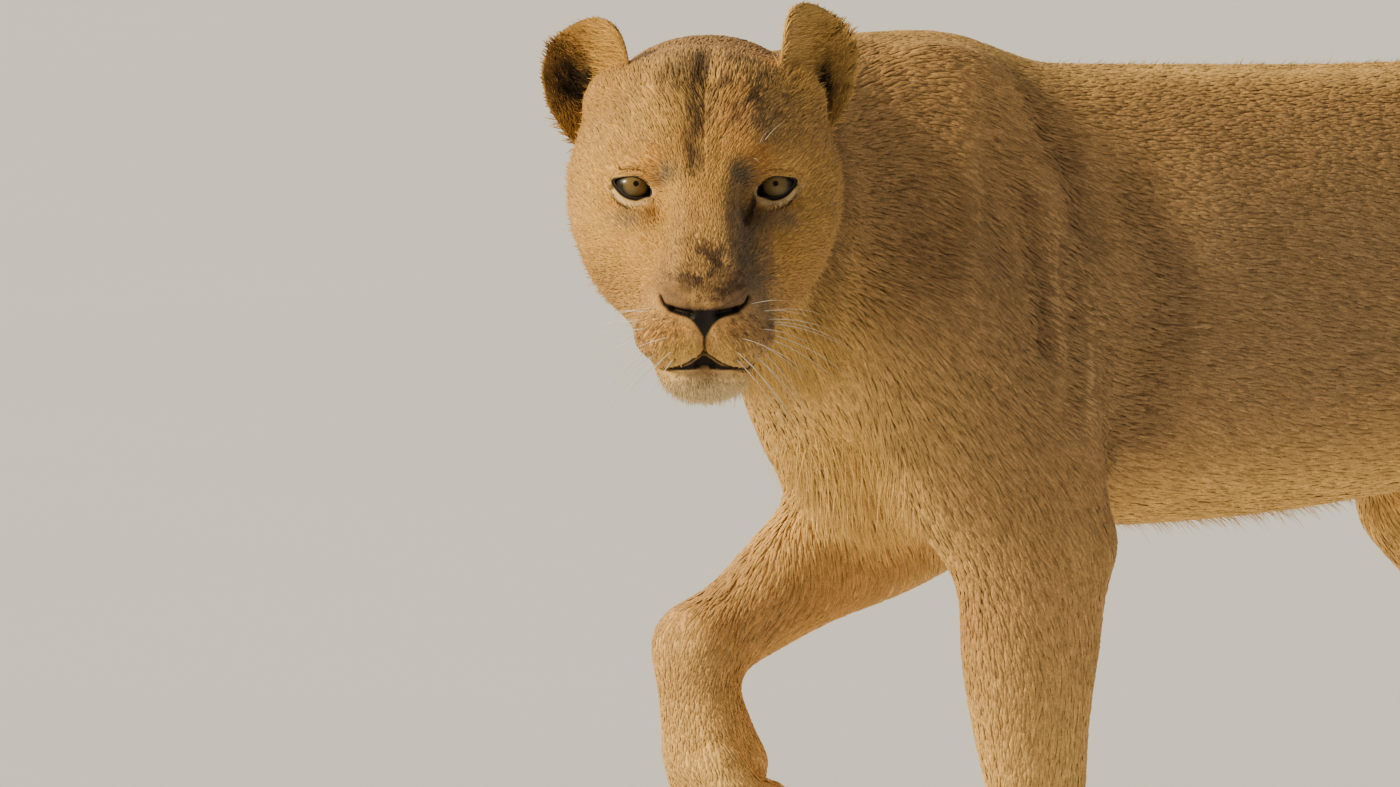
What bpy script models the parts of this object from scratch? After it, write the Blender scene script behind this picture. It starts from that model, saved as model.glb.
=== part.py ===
"""A life-size lioness in mid-stride, her head turned to her left and her right forepaw lifted.

She walks towards -X, her left side is at -Y, and the floor is at z = 0. Lengths are in metres.
Her outline is that of the coat's tips. It is a set of masses, each a row of oval sections along a
bone or a muscle, blended into one closed skin and then modelled with small swells and dents. The
skin is sawn into head, neck, trunk, tail and the parts of each leg, with cuts KERF wide.
"""

import math

import bmesh
import bpy
import numpy as np
from mathutils import Matrix, Vector

KERF = 0.0003  # gap left by each cut, and round each eye
VOXEL = 0.0075  # grid of the rough skin
TRIANGLES = 5400  # of the whole skin before it is cut
FINENESS = 0.025  # how strongly the thinning spares the face and the paws
SPLINE_STEPS = 3  # oval sections from one station to the next
LEFT, RIGHT = -1, 1  # side of the body, as the sign of y

# The head's own frame has its origin midway between the pupils.
EYES_MIDDLE = Vector((-0.762, -0.335, 0.821))
HEAD_TURN = math.radians(63)  # from straight ahead, to her left
HEAD_LIFT = math.radians(5)  # of the face's forward axis above level
EYE_APART = 0.0605  # from the middle plane to each pupil
EYE_RADIUS = 0.0185
EYE_DEPTH = 0.0215  # of the eyeball's centre behind the pupils' plane

FORWARD = Vector(
    (
        -math.cos(HEAD_TURN) * math.cos(HEAD_LIFT),
        -math.sin(HEAD_TURN) * math.cos(HEAD_LIFT),
        math.sin(HEAD_LIFT),
    )
)
TO_LEFT = Vector((math.sin(HEAD_TURN), -math.cos(HEAD_TURN), 0))
UPWARD = FORWARD.cross(TO_LEFT)
ACROSS_BODY = Vector((0, 1, 0))

# Joints from the top of each leg to its toes. Three paws stand, and the right forepaw hangs.
TOE_HEIGHT = 0.0205  # of a standing toe tip's centre
SOLES = 0.006  # height at which the three standing paws are flat
# top of the shoulder blade, shoulder, elbow, wrist, knuckles, toe tips
LEFT_FORELEG = (
    (-0.385, -0.072, 0.872),
    (-0.428, -0.108, 0.690),
    (-0.318, -0.116, 0.465),
    (-0.308, -0.098, 0.168),
    (-0.350, -0.092, 0.056),
    (-0.426, -0.090, TOE_HEIGHT),
)
RIGHT_FORELEG = (
    (-0.385, 0.072, 0.865),
    (-0.446, 0.098, 0.690),
    (-0.325, 0.108, 0.487),
    (-0.556, 0.085, 0.378),
    (-0.552, 0.080, 0.285),
    (-0.498, 0.078, 0.236),
)
# hip, knee, hock, ball of the foot, toe tips
LEFT_HINDLEG = (
    (0.370, -0.072, 0.725),
    (0.315, -0.112, 0.465),
    (0.575, -0.092, 0.275),
    (0.590, -0.086, 0.052),
    (0.520, -0.084, TOE_HEIGHT),
)
RIGHT_HINDLEG = (
    (0.360, 0.072, 0.725),
    (0.205, 0.112, 0.480),
    (0.330, 0.094, 0.235),
    (0.165, 0.082, 0.055),
    (0.092, 0.080, TOE_HEIGHT),
)


def on_head(forward, left, up):
    """World place of a point given in the head's frame."""
    return EYES_MIDDLE + FORWARD * forward + TO_LEFT * left + UPWARD * up


# ---------------------------------------------------------------- masses
class Mass:
    """A row of oval sections: (place, half width, half height), with one axis across them."""

    def __init__(self, sections, across=None, blend=0.03, cap=0.8, box=2.0):
        self.sections = [(Vector(place), wide, high) for place, wide, high in sections]
        self.across = across
        self.blend = blend  # how softly it runs into the masses before it
        self.cap = cap  # bulge of its two ends, as a share of their mean radius
        self.box = box  # 2 is an oval section, and more is squarer

    def rows(self, steps):
        """The sections with others set between them on a smooth curve."""
        rows = [(*place, wide, high) for place, wide, high in self.sections]
        if len(rows) < 3 or steps < 2:
            return np.array(rows)
        padded = np.array([rows[0], *rows, rows[-1]])
        curve = []
        for i in range(len(rows) - 1):
            before, start, end, after = padded[i : i + 4]
            for t in np.arange(steps) / steps:
                curve.append(
                    0.5
                    * (
                        2 * start
                        + (end - before) * t
                        + (2 * before - 5 * start + 4 * end - after) * t**2
                        + (3 * start - before - 3 * end + after) * t**3
                    )
                )
        return np.array([*curve, padded[-1]])

    def axes(self, start, end):
        """Unit vectors along the mass from start to end, across it, and square to both."""
        along = end - start
        length = max(np.linalg.norm(along), 1e-6)
        along = along / length
        across = np.array(self.across) if self.across else np.cross((0, 0, 1), along)
        square = np.cross(along, across)
        square /= np.linalg.norm(square)
        return along, np.cross(square, along), square, length

    def distance(self, points):
        """Roughly how far each point lies outside this mass."""
        rows = self.rows(SPLINE_STEPS)
        nearest = np.full(len(points), 1e3)
        for first, last in zip(rows[:-1], rows[1:]):
            along, across, square, length = self.axes(first[:3], last[:3])
            offset = points - first[:3]
            t = np.clip(offset @ along / length, 0, 1)
            wide = first[3] + (last[3] - first[3]) * t
            high = first[4] + (last[4] - first[4]) * t
            end = self.cap * 0.5 * (wide + high)
            parts = (offset @ across / wide, offset @ square / high, (offset @ along - t * length) / end)
            power = sum(np.abs(part) ** self.box for part in parts)
            level = np.maximum(power, 1e-9) ** (1 / self.box)
            slope = sum(
                (np.abs(part) ** (self.box - 1) / radius) ** 2
                for part, radius in zip(parts, (wide, high, end))
            )
            slope = np.sqrt(np.maximum(slope, 1e-12)) * level ** (1 - self.box)
            nearest = np.minimum(nearest, (level - 1) / slope)
        return nearest


def bone(start, end, sections):
    """Sections along a bone, given as (share of its length, half width, half depth, shift ahead)."""
    start, end = Vector(start), Vector(end)
    ahead = ACROSS_BODY.cross(end - start).normalized()
    placed = []
    for share, wide, deep, shift in sections:
        placed.append((start.lerp(end, share) + ahead * shift, wide, deep))
    return placed


def trunk_masses():
    """Ribcage, belly and croup, withers, and the breast between the forelegs."""
    barrel = [
        ((-0.455, 0, 0.715), 0.090, 0.150),
        ((-0.380, 0, 0.700), 0.122, 0.195),
        ((-0.270, 0, 0.686), 0.143, 0.205),
        ((-0.120, 0, 0.682), 0.158, 0.204),
        ((0.040, 0, 0.686), 0.163, 0.196),
        ((0.180, 0, 0.699), 0.152, 0.185),
        ((0.310, 0, 0.721), 0.132, 0.172),
        ((0.410, 0, 0.752), 0.112, 0.138),
        ((0.480, 0, 0.768), 0.075, 0.092),
    ]
    withers = [
        ((-0.470, -0.008, 0.847), 0.042, 0.052),
        ((-0.385, 0, 0.856), 0.048, 0.050),
        ((-0.305, 0, 0.842), 0.040, 0.045),
    ]
    breast = [
        ((-0.460, -0.015, 0.640), 0.075, 0.065),
        ((-0.440, -0.005, 0.560), 0.060, 0.062),
        ((-0.370, 0, 0.527), 0.050, 0.050),
    ]
    return [
        Mass(barrel, ACROSS_BODY, cap=0.5, box=2.2),
        Mass(withers, ACROSS_BODY, blend=0.05),
        Mass(breast, ACROSS_BODY, blend=0.05),
    ]


def neck_masses():
    """The neck bends to her left as it runs forward to the skull."""
    neck = [
        ((-0.380, 0.000, 0.740), 0.110, 0.165),
        ((-0.480, -0.025, 0.752), 0.108, 0.163),
        ((-0.570, -0.075, 0.775), 0.098, 0.145),
        ((-0.640, -0.135, 0.800), 0.092, 0.125),
        ((-0.695, -0.200, 0.825), 0.092, 0.108),
    ]
    return [Mass(neck, blend=0.07, cap=0.4)]


def head_masses():
    """Skull, brow, cheeks, muzzle, nose and jaw, all in the head's frame."""
    across = TO_LEFT

    def single(place, wide, high, long, **kinds):
        """One oval: a short row from back to front."""
        forward, left, up = place
        reach = max(long - 0.5 * (wide + high) * 0.8, 0.002)
        ends = (on_head(forward - reach, left, up), on_head(forward + reach, left, up))
        return Mass([(end, wide, high) for end in ends], across, **kinds)

    masses = [
        single((-0.118, 0, 0.024), 0.096, 0.100, 0.100, blend=0.05, box=2.35),
        single((-0.076, 0, 0.020), 0.080, 0.070, 0.068, blend=0.04),
    ]
    bridge = [
        (on_head(-0.045, 0, 0.044), 0.058, 0.040),
        (on_head(-0.018, 0, 0.014), 0.044, 0.040),
        (on_head(0.012, 0, -0.016), 0.034, 0.035),
        (on_head(0.050, 0, -0.050), 0.031, 0.031),
        (on_head(0.084, 0, -0.083), 0.034, 0.023),
    ]
    muzzle = [
        (on_head(-0.030, 0, -0.072), 0.071, 0.058),
        (on_head(0.020, 0, -0.092), 0.056, 0.054),
        (on_head(0.062, 0, -0.108), 0.053, 0.044),
        (on_head(0.080, 0, -0.116), 0.048, 0.036),
    ]
    jaw = [
        (on_head(-0.080, 0, -0.082), 0.072, 0.045),
        (on_head(-0.020, 0, -0.122), 0.054, 0.036),
        (on_head(0.042, 0, -0.150), 0.038, 0.027),
    ]
    masses += [
        Mass(muzzle, across, blend=0.035, cap=0.7, box=2.3),
        Mass(bridge, across, blend=0.022, cap=0.7, box=2.5),
        Mass(jaw, across, blend=0.03, cap=0.7),
    ]
    for side in (-1, 1):
        cheek = [
            (on_head(-0.105, side * 0.067, -0.010), 0.045, 0.074),
            (on_head(-0.060, side * 0.062, -0.040), 0.043, 0.062),
        ]
        cheekbone = [
            (on_head(-0.085, side * 0.082, -0.008), 0.024, 0.038),
            (on_head(-0.030, side * 0.070, -0.036), 0.024, 0.030),
            (on_head(0.006, side * 0.047, -0.056), 0.021, 0.026),
        ]
        brow = [
            (on_head(-0.070, side * 0.084, 0.026), 0.022, 0.026),
            (on_head(-0.038, side * 0.068, 0.030), 0.021, 0.020),
            (on_head(-0.018, side * 0.040, 0.030), 0.022, 0.020),
        ]
        pad = [
            (on_head(0.052, side * 0.030, -0.122), 0.031, 0.031),
            (on_head(0.080, side * 0.0255, -0.127), 0.027, 0.026),
        ]
        ear_root = [
            (on_head(-0.095, side * 0.068, 0.064), 0.036, 0.036),
            (on_head(-0.096, side * 0.079, 0.080), 0.024, 0.027),
        ]
        masses += [
            Mass(cheek, across, blend=0.035),
            Mass(cheekbone, across, blend=0.03),
            Mass(brow, across, blend=0.030),
            Mass(pad, across, blend=0.014),
            Mass(ear_root, across, blend=0.03),
        ]
    masses += [
        single((0.092, 0, -0.099), 0.037, 0.017, 0.024, blend=0.018, box=2.3),
        single((0.096, 0, -0.112), 0.018, 0.018, 0.018, blend=0.012),
        single((0.048, 0, -0.159), 0.036, 0.022, 0.030, blend=0.014),
    ]
    return masses


def toes(knuckles, tip, toe_radius, spread, rise):
    """Four toes fanned from the knuckles, the outer two shorter."""
    knuckles, tip = Vector(knuckles), Vector(tip)
    reach = tip - knuckles
    masses = []
    for share in (-1.5, -0.5, 0.5, 1.5):
        short = 1 - 0.13 * (abs(share) - 0.5)
        aside = ACROSS_BODY * spread * share
        arch = Vector(rise)
        toe = [
            (knuckles + aside * 0.75, toe_radius, toe_radius),
            (knuckles + reach * 0.55 * short + aside + arch, toe_radius * 1.05, toe_radius * 1.05),
            (knuckles + reach * short + aside, toe_radius * 0.92, toe_radius * 0.95),
        ]
        masses.append(Mass(toe, ACROSS_BODY, blend=0.009))
    return masses


def main_pad(knuckles, tip, sole):
    """The broad pad under the knuckles, on the side that `sole` points to."""
    knuckles, tip, sole = Vector(knuckles), Vector(tip), Vector(sole)
    back = knuckles - (tip - knuckles) * 0.10 + sole * 0.032
    front = knuckles.lerp(tip, 0.45) + sole * 0.019
    return Mass([(back, 0.033, 0.024), (front, 0.038, 0.021)], ACROSS_BODY, blend=0.014)


def foreleg_masses(side, top, shoulder, elbow, wrist, knuckles, tip, rise, sole):
    """Shoulder blade, upper arm, forearm and paw, along the given joints."""
    blade = bone(top, shoulder, [(0, 0.030, 0.070, 0), (0.45, 0.046, 0.098, 0), (1, 0.058, 0.080, 0)])
    upper = bone(shoulder, elbow, [(0, 0.056, 0.080, 0), (0.5, 0.054, 0.086, 0.014), (1, 0.048, 0.066, 0.004)])
    elbow_point = Vector(elbow) + Vector((0.042, side * 0.004, 0.014))
    triceps = [
        (Vector(top).lerp(Vector(shoulder), 0.5) + Vector((0.075, side * 0.012, 0)), 0.034, 0.050),
        (Vector(shoulder).lerp(Vector(elbow), 0.55) + Vector((0.060, side * 0.012, 0)), 0.038, 0.048),
        (elbow_point, 0.026, 0.028),
    ]
    lower = bone(
        elbow,
        wrist,
        [
            (-0.04, 0.046, 0.062, 0),
            (0.22, 0.049, 0.067, 0.010),
            (0.48, 0.043, 0.056, 0.010),
            (0.80, 0.036, 0.042, 0.001),
            (1.00, 0.038, 0.040, 0.002),
        ],
    )
    wrist_to_paw = bone(wrist, knuckles, [(0, 0.038, 0.038, 0), (0.55, 0.042, 0.035, 0), (1, 0.049, 0.032, 0)])
    return [
        Mass(blade, ACROSS_BODY, blend=0.035),
        Mass(upper, ACROSS_BODY, blend=0.040),
        Mass(triceps, ACROSS_BODY, blend=0.030),
        Mass(lower, ACROSS_BODY, blend=0.030),
        Mass(wrist_to_paw, ACROSS_BODY, blend=0.020),
        main_pad(knuckles, tip, sole),
        *toes(knuckles, tip, 0.0215, 0.0280, rise),
    ]


def hindleg_masses(side, hip, knee, hock, ball, tip):
    """Haunch, thigh, shank, hock and paw, along the given joints."""
    hip, knee, hock, ball = Vector(hip), Vector(knee), Vector(hock), Vector(ball)
    haunch = bone(hip + Vector((0.0, -side * 0.02, 0.09)), hip, [(0, 0.060, 0.095, 0), (1, 0.078, 0.125, 0)])
    thigh = bone(hip, knee, [(0, 0.078, 0.135, -0.01), (0.5, 0.068, 0.120, -0.014), (1, 0.050, 0.068, 0)])
    seat = Vector((0.475, hip.y * 0.9, 0.735))
    calf = knee.lerp(hock, 0.34)
    hamstring = [
        (seat, 0.050, 0.055),
        (hip.lerp(knee, 0.66) + Vector((0.095, side * 0.010, 0.01)), 0.044, 0.052),
        (calf + Vector((0.026, 0, 0.012)), 0.034, 0.036),
    ]
    flank = Vector((knee.x - 0.02, side * 0.125, 0.60))
    fold = [(flank + Vector((-0.06, -side * 0.02, 0.03)), 0.030, 0.050), (flank, 0.030, 0.050), (knee, 0.034, 0.045)]
    shank = bone(
        knee,
        hock,
        [
            (0, 0.046, 0.062, 0),
            (0.30, 0.041, 0.054, -0.006),
            (0.65, 0.030, 0.036, -0.004),
            (0.92, 0.026, 0.030, 0),
            (1.00, 0.026, 0.030, 0),
        ],
    )
    heel_bone = [
        (hock + Vector((0.024, 0, 0.030)), 0.018, 0.020),
        (hock.lerp(ball, 0.30) + Vector((0.010, 0, 0)), 0.024, 0.026),
    ]
    foot = bone(hock, ball, [(0, 0.029, 0.036, 0), (0.5, 0.031, 0.031, 0), (1, 0.044, 0.032, 0)])
    return [
        Mass(haunch, ACROSS_BODY, blend=0.050),
        Mass(thigh, ACROSS_BODY, blend=0.050),
        Mass(hamstring, ACROSS_BODY, blend=0.045),
        Mass(fold, ACROSS_BODY, blend=0.060),
        Mass(shank, ACROSS_BODY, blend=0.030),
        Mass(heel_bone, ACROSS_BODY, blend=0.030),
        Mass(foot, ACROSS_BODY, blend=0.030),
        main_pad(ball, tip, (0, 0, -1)),
        *toes(ball, tip, 0.0203, 0.0262, (0, 0, 0.016)),
    ]


def leg_masses():
    return [
        *foreleg_masses(LEFT, *LEFT_FORELEG, rise=(0, 0, 0.020), sole=(0, 0, -1)),
        *foreleg_masses(RIGHT, *RIGHT_FORELEG, rise=(-0.012, 0, -0.010), sole=(0.67, 0, 0.74)),
        *hindleg_masses(LEFT, *LEFT_HINDLEG),
        *hindleg_masses(RIGHT, *RIGHT_HINDLEG),
    ]


def tail_masses():
    """The tail hangs in a slack curve behind her, with a tuft at its end."""
    tail = [
        ((0.480, 0, 0.800), 0.034, 0.036),
        ((0.570, 0, 0.770), 0.027, 0.028),
        ((0.645, 0.004, 0.680), 0.021, 0.022),
        ((0.690, 0.010, 0.560), 0.017, 0.017),
        ((0.715, 0.014, 0.440), 0.015, 0.015),
        ((0.745, 0.012, 0.330), 0.014, 0.014),
        ((0.790, 0.006, 0.250), 0.017, 0.017),
    ]
    tuft = [
        ((0.790, 0.006, 0.250), 0.020, 0.020),
        ((0.820, 0.002, 0.215), 0.029, 0.029),
        ((0.855, -0.004, 0.185), 0.024, 0.024),
        ((0.885, -0.008, 0.165), 0.010, 0.010),
    ]
    return [Mass(tail, ACROSS_BODY, blend=0.035), Mass(tuft, ACROSS_BODY, blend=0.012)]


# ---------------------------------------------------------------- swells and dents
def head_touches():
    """(place, radii forward, left and up, height) of each swell, or dent where height is below 0."""
    touches = [
        ((0.012, 0, 0.010), (0.030, 0.016, 0.030), -0.004),  # hollow between the eyes
        ((-0.020, 0, 0.100), (0.060, 0.012, 0.060), -0.003),  # crease down the forehead
        ((0.098, 0, -0.135), (0.030, 0.006, 0.030), -0.006),  # cleft of the upper lip
    ]
    for side in (-1, 1):
        touches += [
            ((-0.002, side * EYE_APART, -0.001), (0.030, 0.019, 0.012), -0.008),  # eye socket
            ((0.010, side * 0.040, -0.018), (0.030, 0.012, 0.018), -0.004),  # inner corner
            ((0.050, side * 0.044, -0.080), (0.030, 0.012, 0.016), -0.003),  # beside the nose
            ((0.108, side * 0.030, -0.101), (0.014, 0.010, 0.006), -0.008),  # nostril
            ((0.072, side * 0.022, -0.152), (0.040, 0.014, 0.005), -0.004),  # mouth
            ((0.066, side * 0.048, -0.146), (0.040, 0.012, 0.006), -0.003),  # mouth's corner
            ((-0.070, side * 0.105, 0.045), (0.040, 0.030, 0.020), -0.003),  # temple
        ]
    return [(on_head(*place), (FORWARD, TO_LEFT, UPWARD), radii, height) for place, radii, height in touches]


def body_touches():
    """Swells and dents of the trunk and legs, in world axes."""
    world = (Vector((1, 0, 0)), Vector((0, 1, 0)), Vector((0, 0, 1)))
    touches = []
    for side, blade_x in ((LEFT, -0.385), (RIGHT, -0.385)):
        touches += [
            ((blade_x + 0.165, side * 0.14, 0.70), (0.045, 0.080, 0.140), -0.010),  # behind the arm
            ((blade_x - 0.02, side * 0.16, 0.77), (0.020, 0.060, 0.080), 0.004),  # spine of the blade
            ((0.235, side * 0.15, 0.60), (0.060, 0.060, 0.080), -0.012),  # flank before the thigh
        ]
    return [(Vector(place), world, radii, height) for place, radii, height in touches]


def fade(distance):
    """1 at the middle of a touch, falling smoothly to 0 at twice its radius."""
    return np.clip(1 - (distance / 2) ** 2, 0, 1) ** 3


# ---------------------------------------------------------------- skin
class Form:
    """The whole outline as one field: below 0 inside the lioness, above 0 outside."""

    def __init__(self):
        self.masses = [*trunk_masses(), *neck_masses(), *head_masses(), *leg_masses(), *tail_masses()]
        self.touches = [*head_touches(), *body_touches()]

    def level(self, points):
        level = np.full(len(points), 1e3)
        for mass in self.masses:
            reach = max(max(wide, high) for _, wide, high in mass.sections) + 0.10
            places = np.array([place for place, _, _ in mass.sections])
            near = ((points > places.min(0) - reach) & (points < places.max(0) + reach)).all(1)
            apart = mass.distance(points[near])
            known = level[near]
            overlap = np.maximum(mass.blend - np.abs(known - apart), 0) / mass.blend
            level[near] = np.minimum(known, apart) - overlap**2 * mass.blend / 4
        for place, axes, radii, height in self.touches:
            offset = points - np.array(place)
            parts = [(offset @ np.array(axis) / radius) ** 2 for axis, radius in zip(axes, radii)]
            level -= height * fade(np.sqrt(sum(parts)))
        return level

    def settle(self, points):
        """Moves each point along the field's slope onto the outline."""
        step = 0.0008
        level = self.level(points)
        slope = np.empty_like(points)
        for axis in range(3):
            beside = points.copy()
            beside[:, axis] += step
            slope[:, axis] = (self.level(beside) - level) / step
        size = np.maximum((slope**2).sum(1), 0.25)
        move = -(level / size)[:, None] * slope
        length = np.linalg.norm(move, axis=1)
        return points + move * np.minimum(1, 0.012 / np.maximum(length, 1e-9))[:, None]


def new_object(name, mesh, collection):
    made = bpy.data.objects.new(name, mesh)
    collection.objects.link(made)
    return made


def evaluated_mesh(source):
    """The object's mesh with its modifiers applied."""
    bpy.context.view_layer.update()
    graph = bpy.context.evaluated_depsgraph_get()
    return bpy.data.meshes.new_from_object(source.evaluated_get(graph))


def rough_skin(masses, collection):
    """Ovals hulled in pairs along each mass, and all of them fused by a voxel remesh."""
    whole = bmesh.new()
    for mass in masses:
        rows = mass.rows(2)
        for first, last in zip(rows[:-1], rows[1:]):
            along, across, square, _ = mass.axes(first[:3], last[:3])
            link = bmesh.new()
            for row in (first, last):
                wide, high = row[3], row[4]
                columns = (across * wide, square * high, along * mass.cap * 0.5 * (wide + high))
                placed = Matrix([(*(column[i] for column in columns), row[i]) for i in range(3)] + [(0, 0, 0, 1)])
                bmesh.ops.create_uvsphere(link, u_segments=10, v_segments=8, radius=1, matrix=placed)
            hull = bmesh.ops.convex_hull(link, input=link.verts)
            spare = {item for item in hull["geom_interior"] if isinstance(item, bmesh.types.BMVert)}
            bmesh.ops.delete(link, geom=list(spare), context="VERTS")
            piece = bpy.data.meshes.new("link")
            link.to_mesh(piece)
            whole.from_mesh(piece)
            bpy.data.meshes.remove(piece)
            link.free()
    mesh = bpy.data.meshes.new("rough")
    whole.to_mesh(mesh)
    whole.free()
    rough = new_object("rough", mesh, collection)
    remesh = rough.modifiers.new("fuse", "REMESH")
    remesh.mode = "VOXEL"
    remesh.voxel_size = VOXEL
    return rough


def relax(points, edges, rounds, share=0.5):
    """Draws each point towards the mean of its neighbours."""
    count = np.bincount(edges.ravel(), minlength=len(points))[:, None]
    for _ in range(rounds):
        total = np.zeros_like(points)
        for axis in range(3):
            total[:, axis] = np.bincount(edges[:, 0], points[edges[:, 1], axis], len(points))
            total[:, axis] += np.bincount(edges[:, 1], points[edges[:, 0], axis], len(points))
        points = points + share * (total / np.maximum(count, 1) - points)
    return points


def make_skin(form, collection):
    """The closed outline of the whole animal but for ears and eyes, thinned to few triangles."""
    rough = rough_skin(form.masses, collection)
    mesh = evaluated_mesh(rough)
    bpy.data.objects.remove(rough)
    points = np.empty(len(mesh.vertices) * 3)
    mesh.vertices.foreach_get("co", points)
    points = points.reshape(-1, 3)
    edges = np.empty(len(mesh.edges) * 2, dtype=np.int64)
    mesh.edges.foreach_get("vertices", edges)
    edges = edges.reshape(-1, 2)
    for rounds in (3, 2, 1):
        points = form.settle(form.settle(relax(points, edges, rounds)))
    mesh.vertices.foreach_set("co", form.settle(points).ravel())
    skin = new_object("skin", mesh, collection)
    spared = skin.vertex_groups.new(name="fine")
    face = np.array(on_head(0.02, 0, -0.06))
    for index, point in enumerate(points):
        near_face = math.exp(-((np.linalg.norm(point - face) / 0.13) ** 2))
        near_floor = 0.4 * math.exp(-((point[2] / 0.06) ** 2))
        spared.add([index], max(near_face, near_floor), "REPLACE")
    mesh.calc_loop_triangles()
    thin = skin.modifiers.new("thin", "DECIMATE")
    thin.ratio = TRIANGLES / len(mesh.loop_triangles)
    thin.vertex_group = spared.name
    thin.invert_vertex_group = True
    thin.vertex_group_factor = FINENESS
    return skin


# ---------------------------------------------------------------- cuts
def cutting_block(corners, collection):
    """A flat-sided tool from its eight corners."""
    block = bmesh.new()
    bmesh.ops.convex_hull(block, input=[block.verts.new(corner) for corner in corners])
    bmesh.ops.recalc_face_normals(block, faces=block.faces)
    mesh = bpy.data.meshes.new("cutter")
    block.to_mesh(mesh)
    block.free()
    return new_object("cutter", mesh, collection)


def plane_corners(at, toward, size, wide, grown):
    """Corners of a block that starts at the plane through `at` and runs in the direction `toward`."""
    toward = Vector(toward).normalized()
    upright = Vector((1, 0, 0)) if abs(toward.z) > 0.9 else Vector((0, 0, 1))
    across = toward.cross(upright).normalized()
    square = across.cross(toward)
    corners = []
    for depth in (-grown, size + grown):
        for u in (-wide / 2 - grown, wide / 2 + grown):
            for v in (-size / 2 - grown, size / 2 + grown):
                corners.append(Vector(at) + toward * depth + across * u + square * v)
    return corners


def leg_corners(side, ahead, behind, inner, outer, grown):
    """Corners round a leg: two heights at x, and the slanting top from inner to outer (|y|, z)."""
    corners = []
    for x in (ahead - grown, behind + grown):
        for (y, top), beyond in ((inner, -grown), (outer, grown)):
            for z in (-0.1, top + 1.4 * grown):
                corners.append(Vector((x, side * (y + beyond), z)))
    return corners


def boolean(target, tool, kind, name, collection):
    """A new object: the target cut by the tool, or only what lies inside it."""
    cutting = target.modifiers.new("cut", "BOOLEAN")
    cutting.operation = kind
    cutting.solver = "EXACT"
    cutting.object = tool
    made = new_object(name, evaluated_mesh(target), collection)
    target.modifiers.remove(cutting)
    return made


def saw(whole, name, corners, collections):
    """Takes the named piece off the whole, and returns the piece and the rest."""
    exact = cutting_block(corners(0), collections["cutters"])
    grown = cutting_block(corners(KERF), collections["cutters"])
    piece = boolean(whole, exact, "INTERSECT", "piece", collections["parts"])
    rest = boolean(whole, grown, "DIFFERENCE", "rest", collections["parts"])
    rest_name = whole.name
    bpy.data.objects.remove(whole)
    piece.name = name
    rest.name = rest_name
    return piece, rest


def saw_at(whole, name, at, toward, size, collections, wide=None):
    return saw(whole, name, lambda grown: plane_corners(at, toward, size, wide or size, grown), collections)


def saw_at_joint(limb, name, joints, collections):
    """Cuts a limb at the middle of three joints, and returns the far piece and the near one."""
    before, joint, after = (Vector(place) for place in joints)
    toward = (joint - before).normalized() + (after - joint).normalized()
    return saw_at(limb, name, joint, toward, 1.0, collections)


def saw_body(skin, collections):
    """Divides the skin into its pieces. The last one left is the trunk."""
    head, rest = saw_at(skin, "head", (-0.652, -0.158, 0.81), (-0.60, -0.75, 0.05), 0.40, collections)
    neck, rest = saw_at(rest, "neck", (-0.515, -0.055, 0.77), (-0.78, -0.40, 0.48), 0.50, collections)
    tail, rest = saw_at(rest, "tail", (0.545, 0, 0.775), (1, 0, -0.35), 1.3, collections, wide=0.08)
    tuft, tail = saw_at(tail, "tail_tuft", (0.788, 0.006, 0.252), (0.7, 0, -0.7), 0.3, collections)
    pieces = [head, neck, tail, tuft]
    for side, word, fore, hind, toes_at, heel_at in (
        (LEFT, "left", LEFT_FORELEG, LEFT_HINDLEG, -0.62, 0.72),
        (RIGHT, "right", RIGHT_FORELEG, RIGHT_HINDLEG, -0.75, 0.60),
    ):
        front_box = (side, toes_at, -0.235, (0.012, 0.476), (0.25, 0.690))
        rear_box = (side, hind[4][0] - 0.06 if side == RIGHT else 0.19, heel_at, (0.012, 0.514), (0.25, 0.795))
        forearm, rest = saw(rest, f"{word}_forearm", lambda grown: leg_corners(*front_box, grown), collections)
        thigh, rest = saw(rest, f"{word}_thigh", lambda grown: leg_corners(*rear_box, grown), collections)
        forepaw, forearm = saw_at_joint(forearm, f"{word}_forepaw", fore[2:5], collections)
        shank, thigh = saw_at_joint(thigh, f"{word}_shank", hind[0:3], collections)
        foot, shank = saw_at_joint(shank, f"{word}_hind_foot", hind[1:4], collections)
        pieces += [forearm, forepaw, thigh, shank, foot]
    rest.name = "trunk"
    return [*pieces, rest]


# ---------------------------------------------------------------- ears and eyes
EAR_HEIGHT = 0.114
EAR_HALF_WIDTH = 0.043
EAR_HOLLOW = 0.030
EAR_THICKNESS = 0.008
# foot and tip of each ear, and the way its opening faces, in the head's frame
RIGHT_EAR = ((-0.090, -0.092, 0.038), (-0.104, -0.107, 0.150), (0.90, -0.42, 0.10))
LEFT_EAR = ((-0.090, 0.092, 0.050), (-0.104, 0.101, 0.168), (0.78, 0.61, 0.05))


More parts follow.
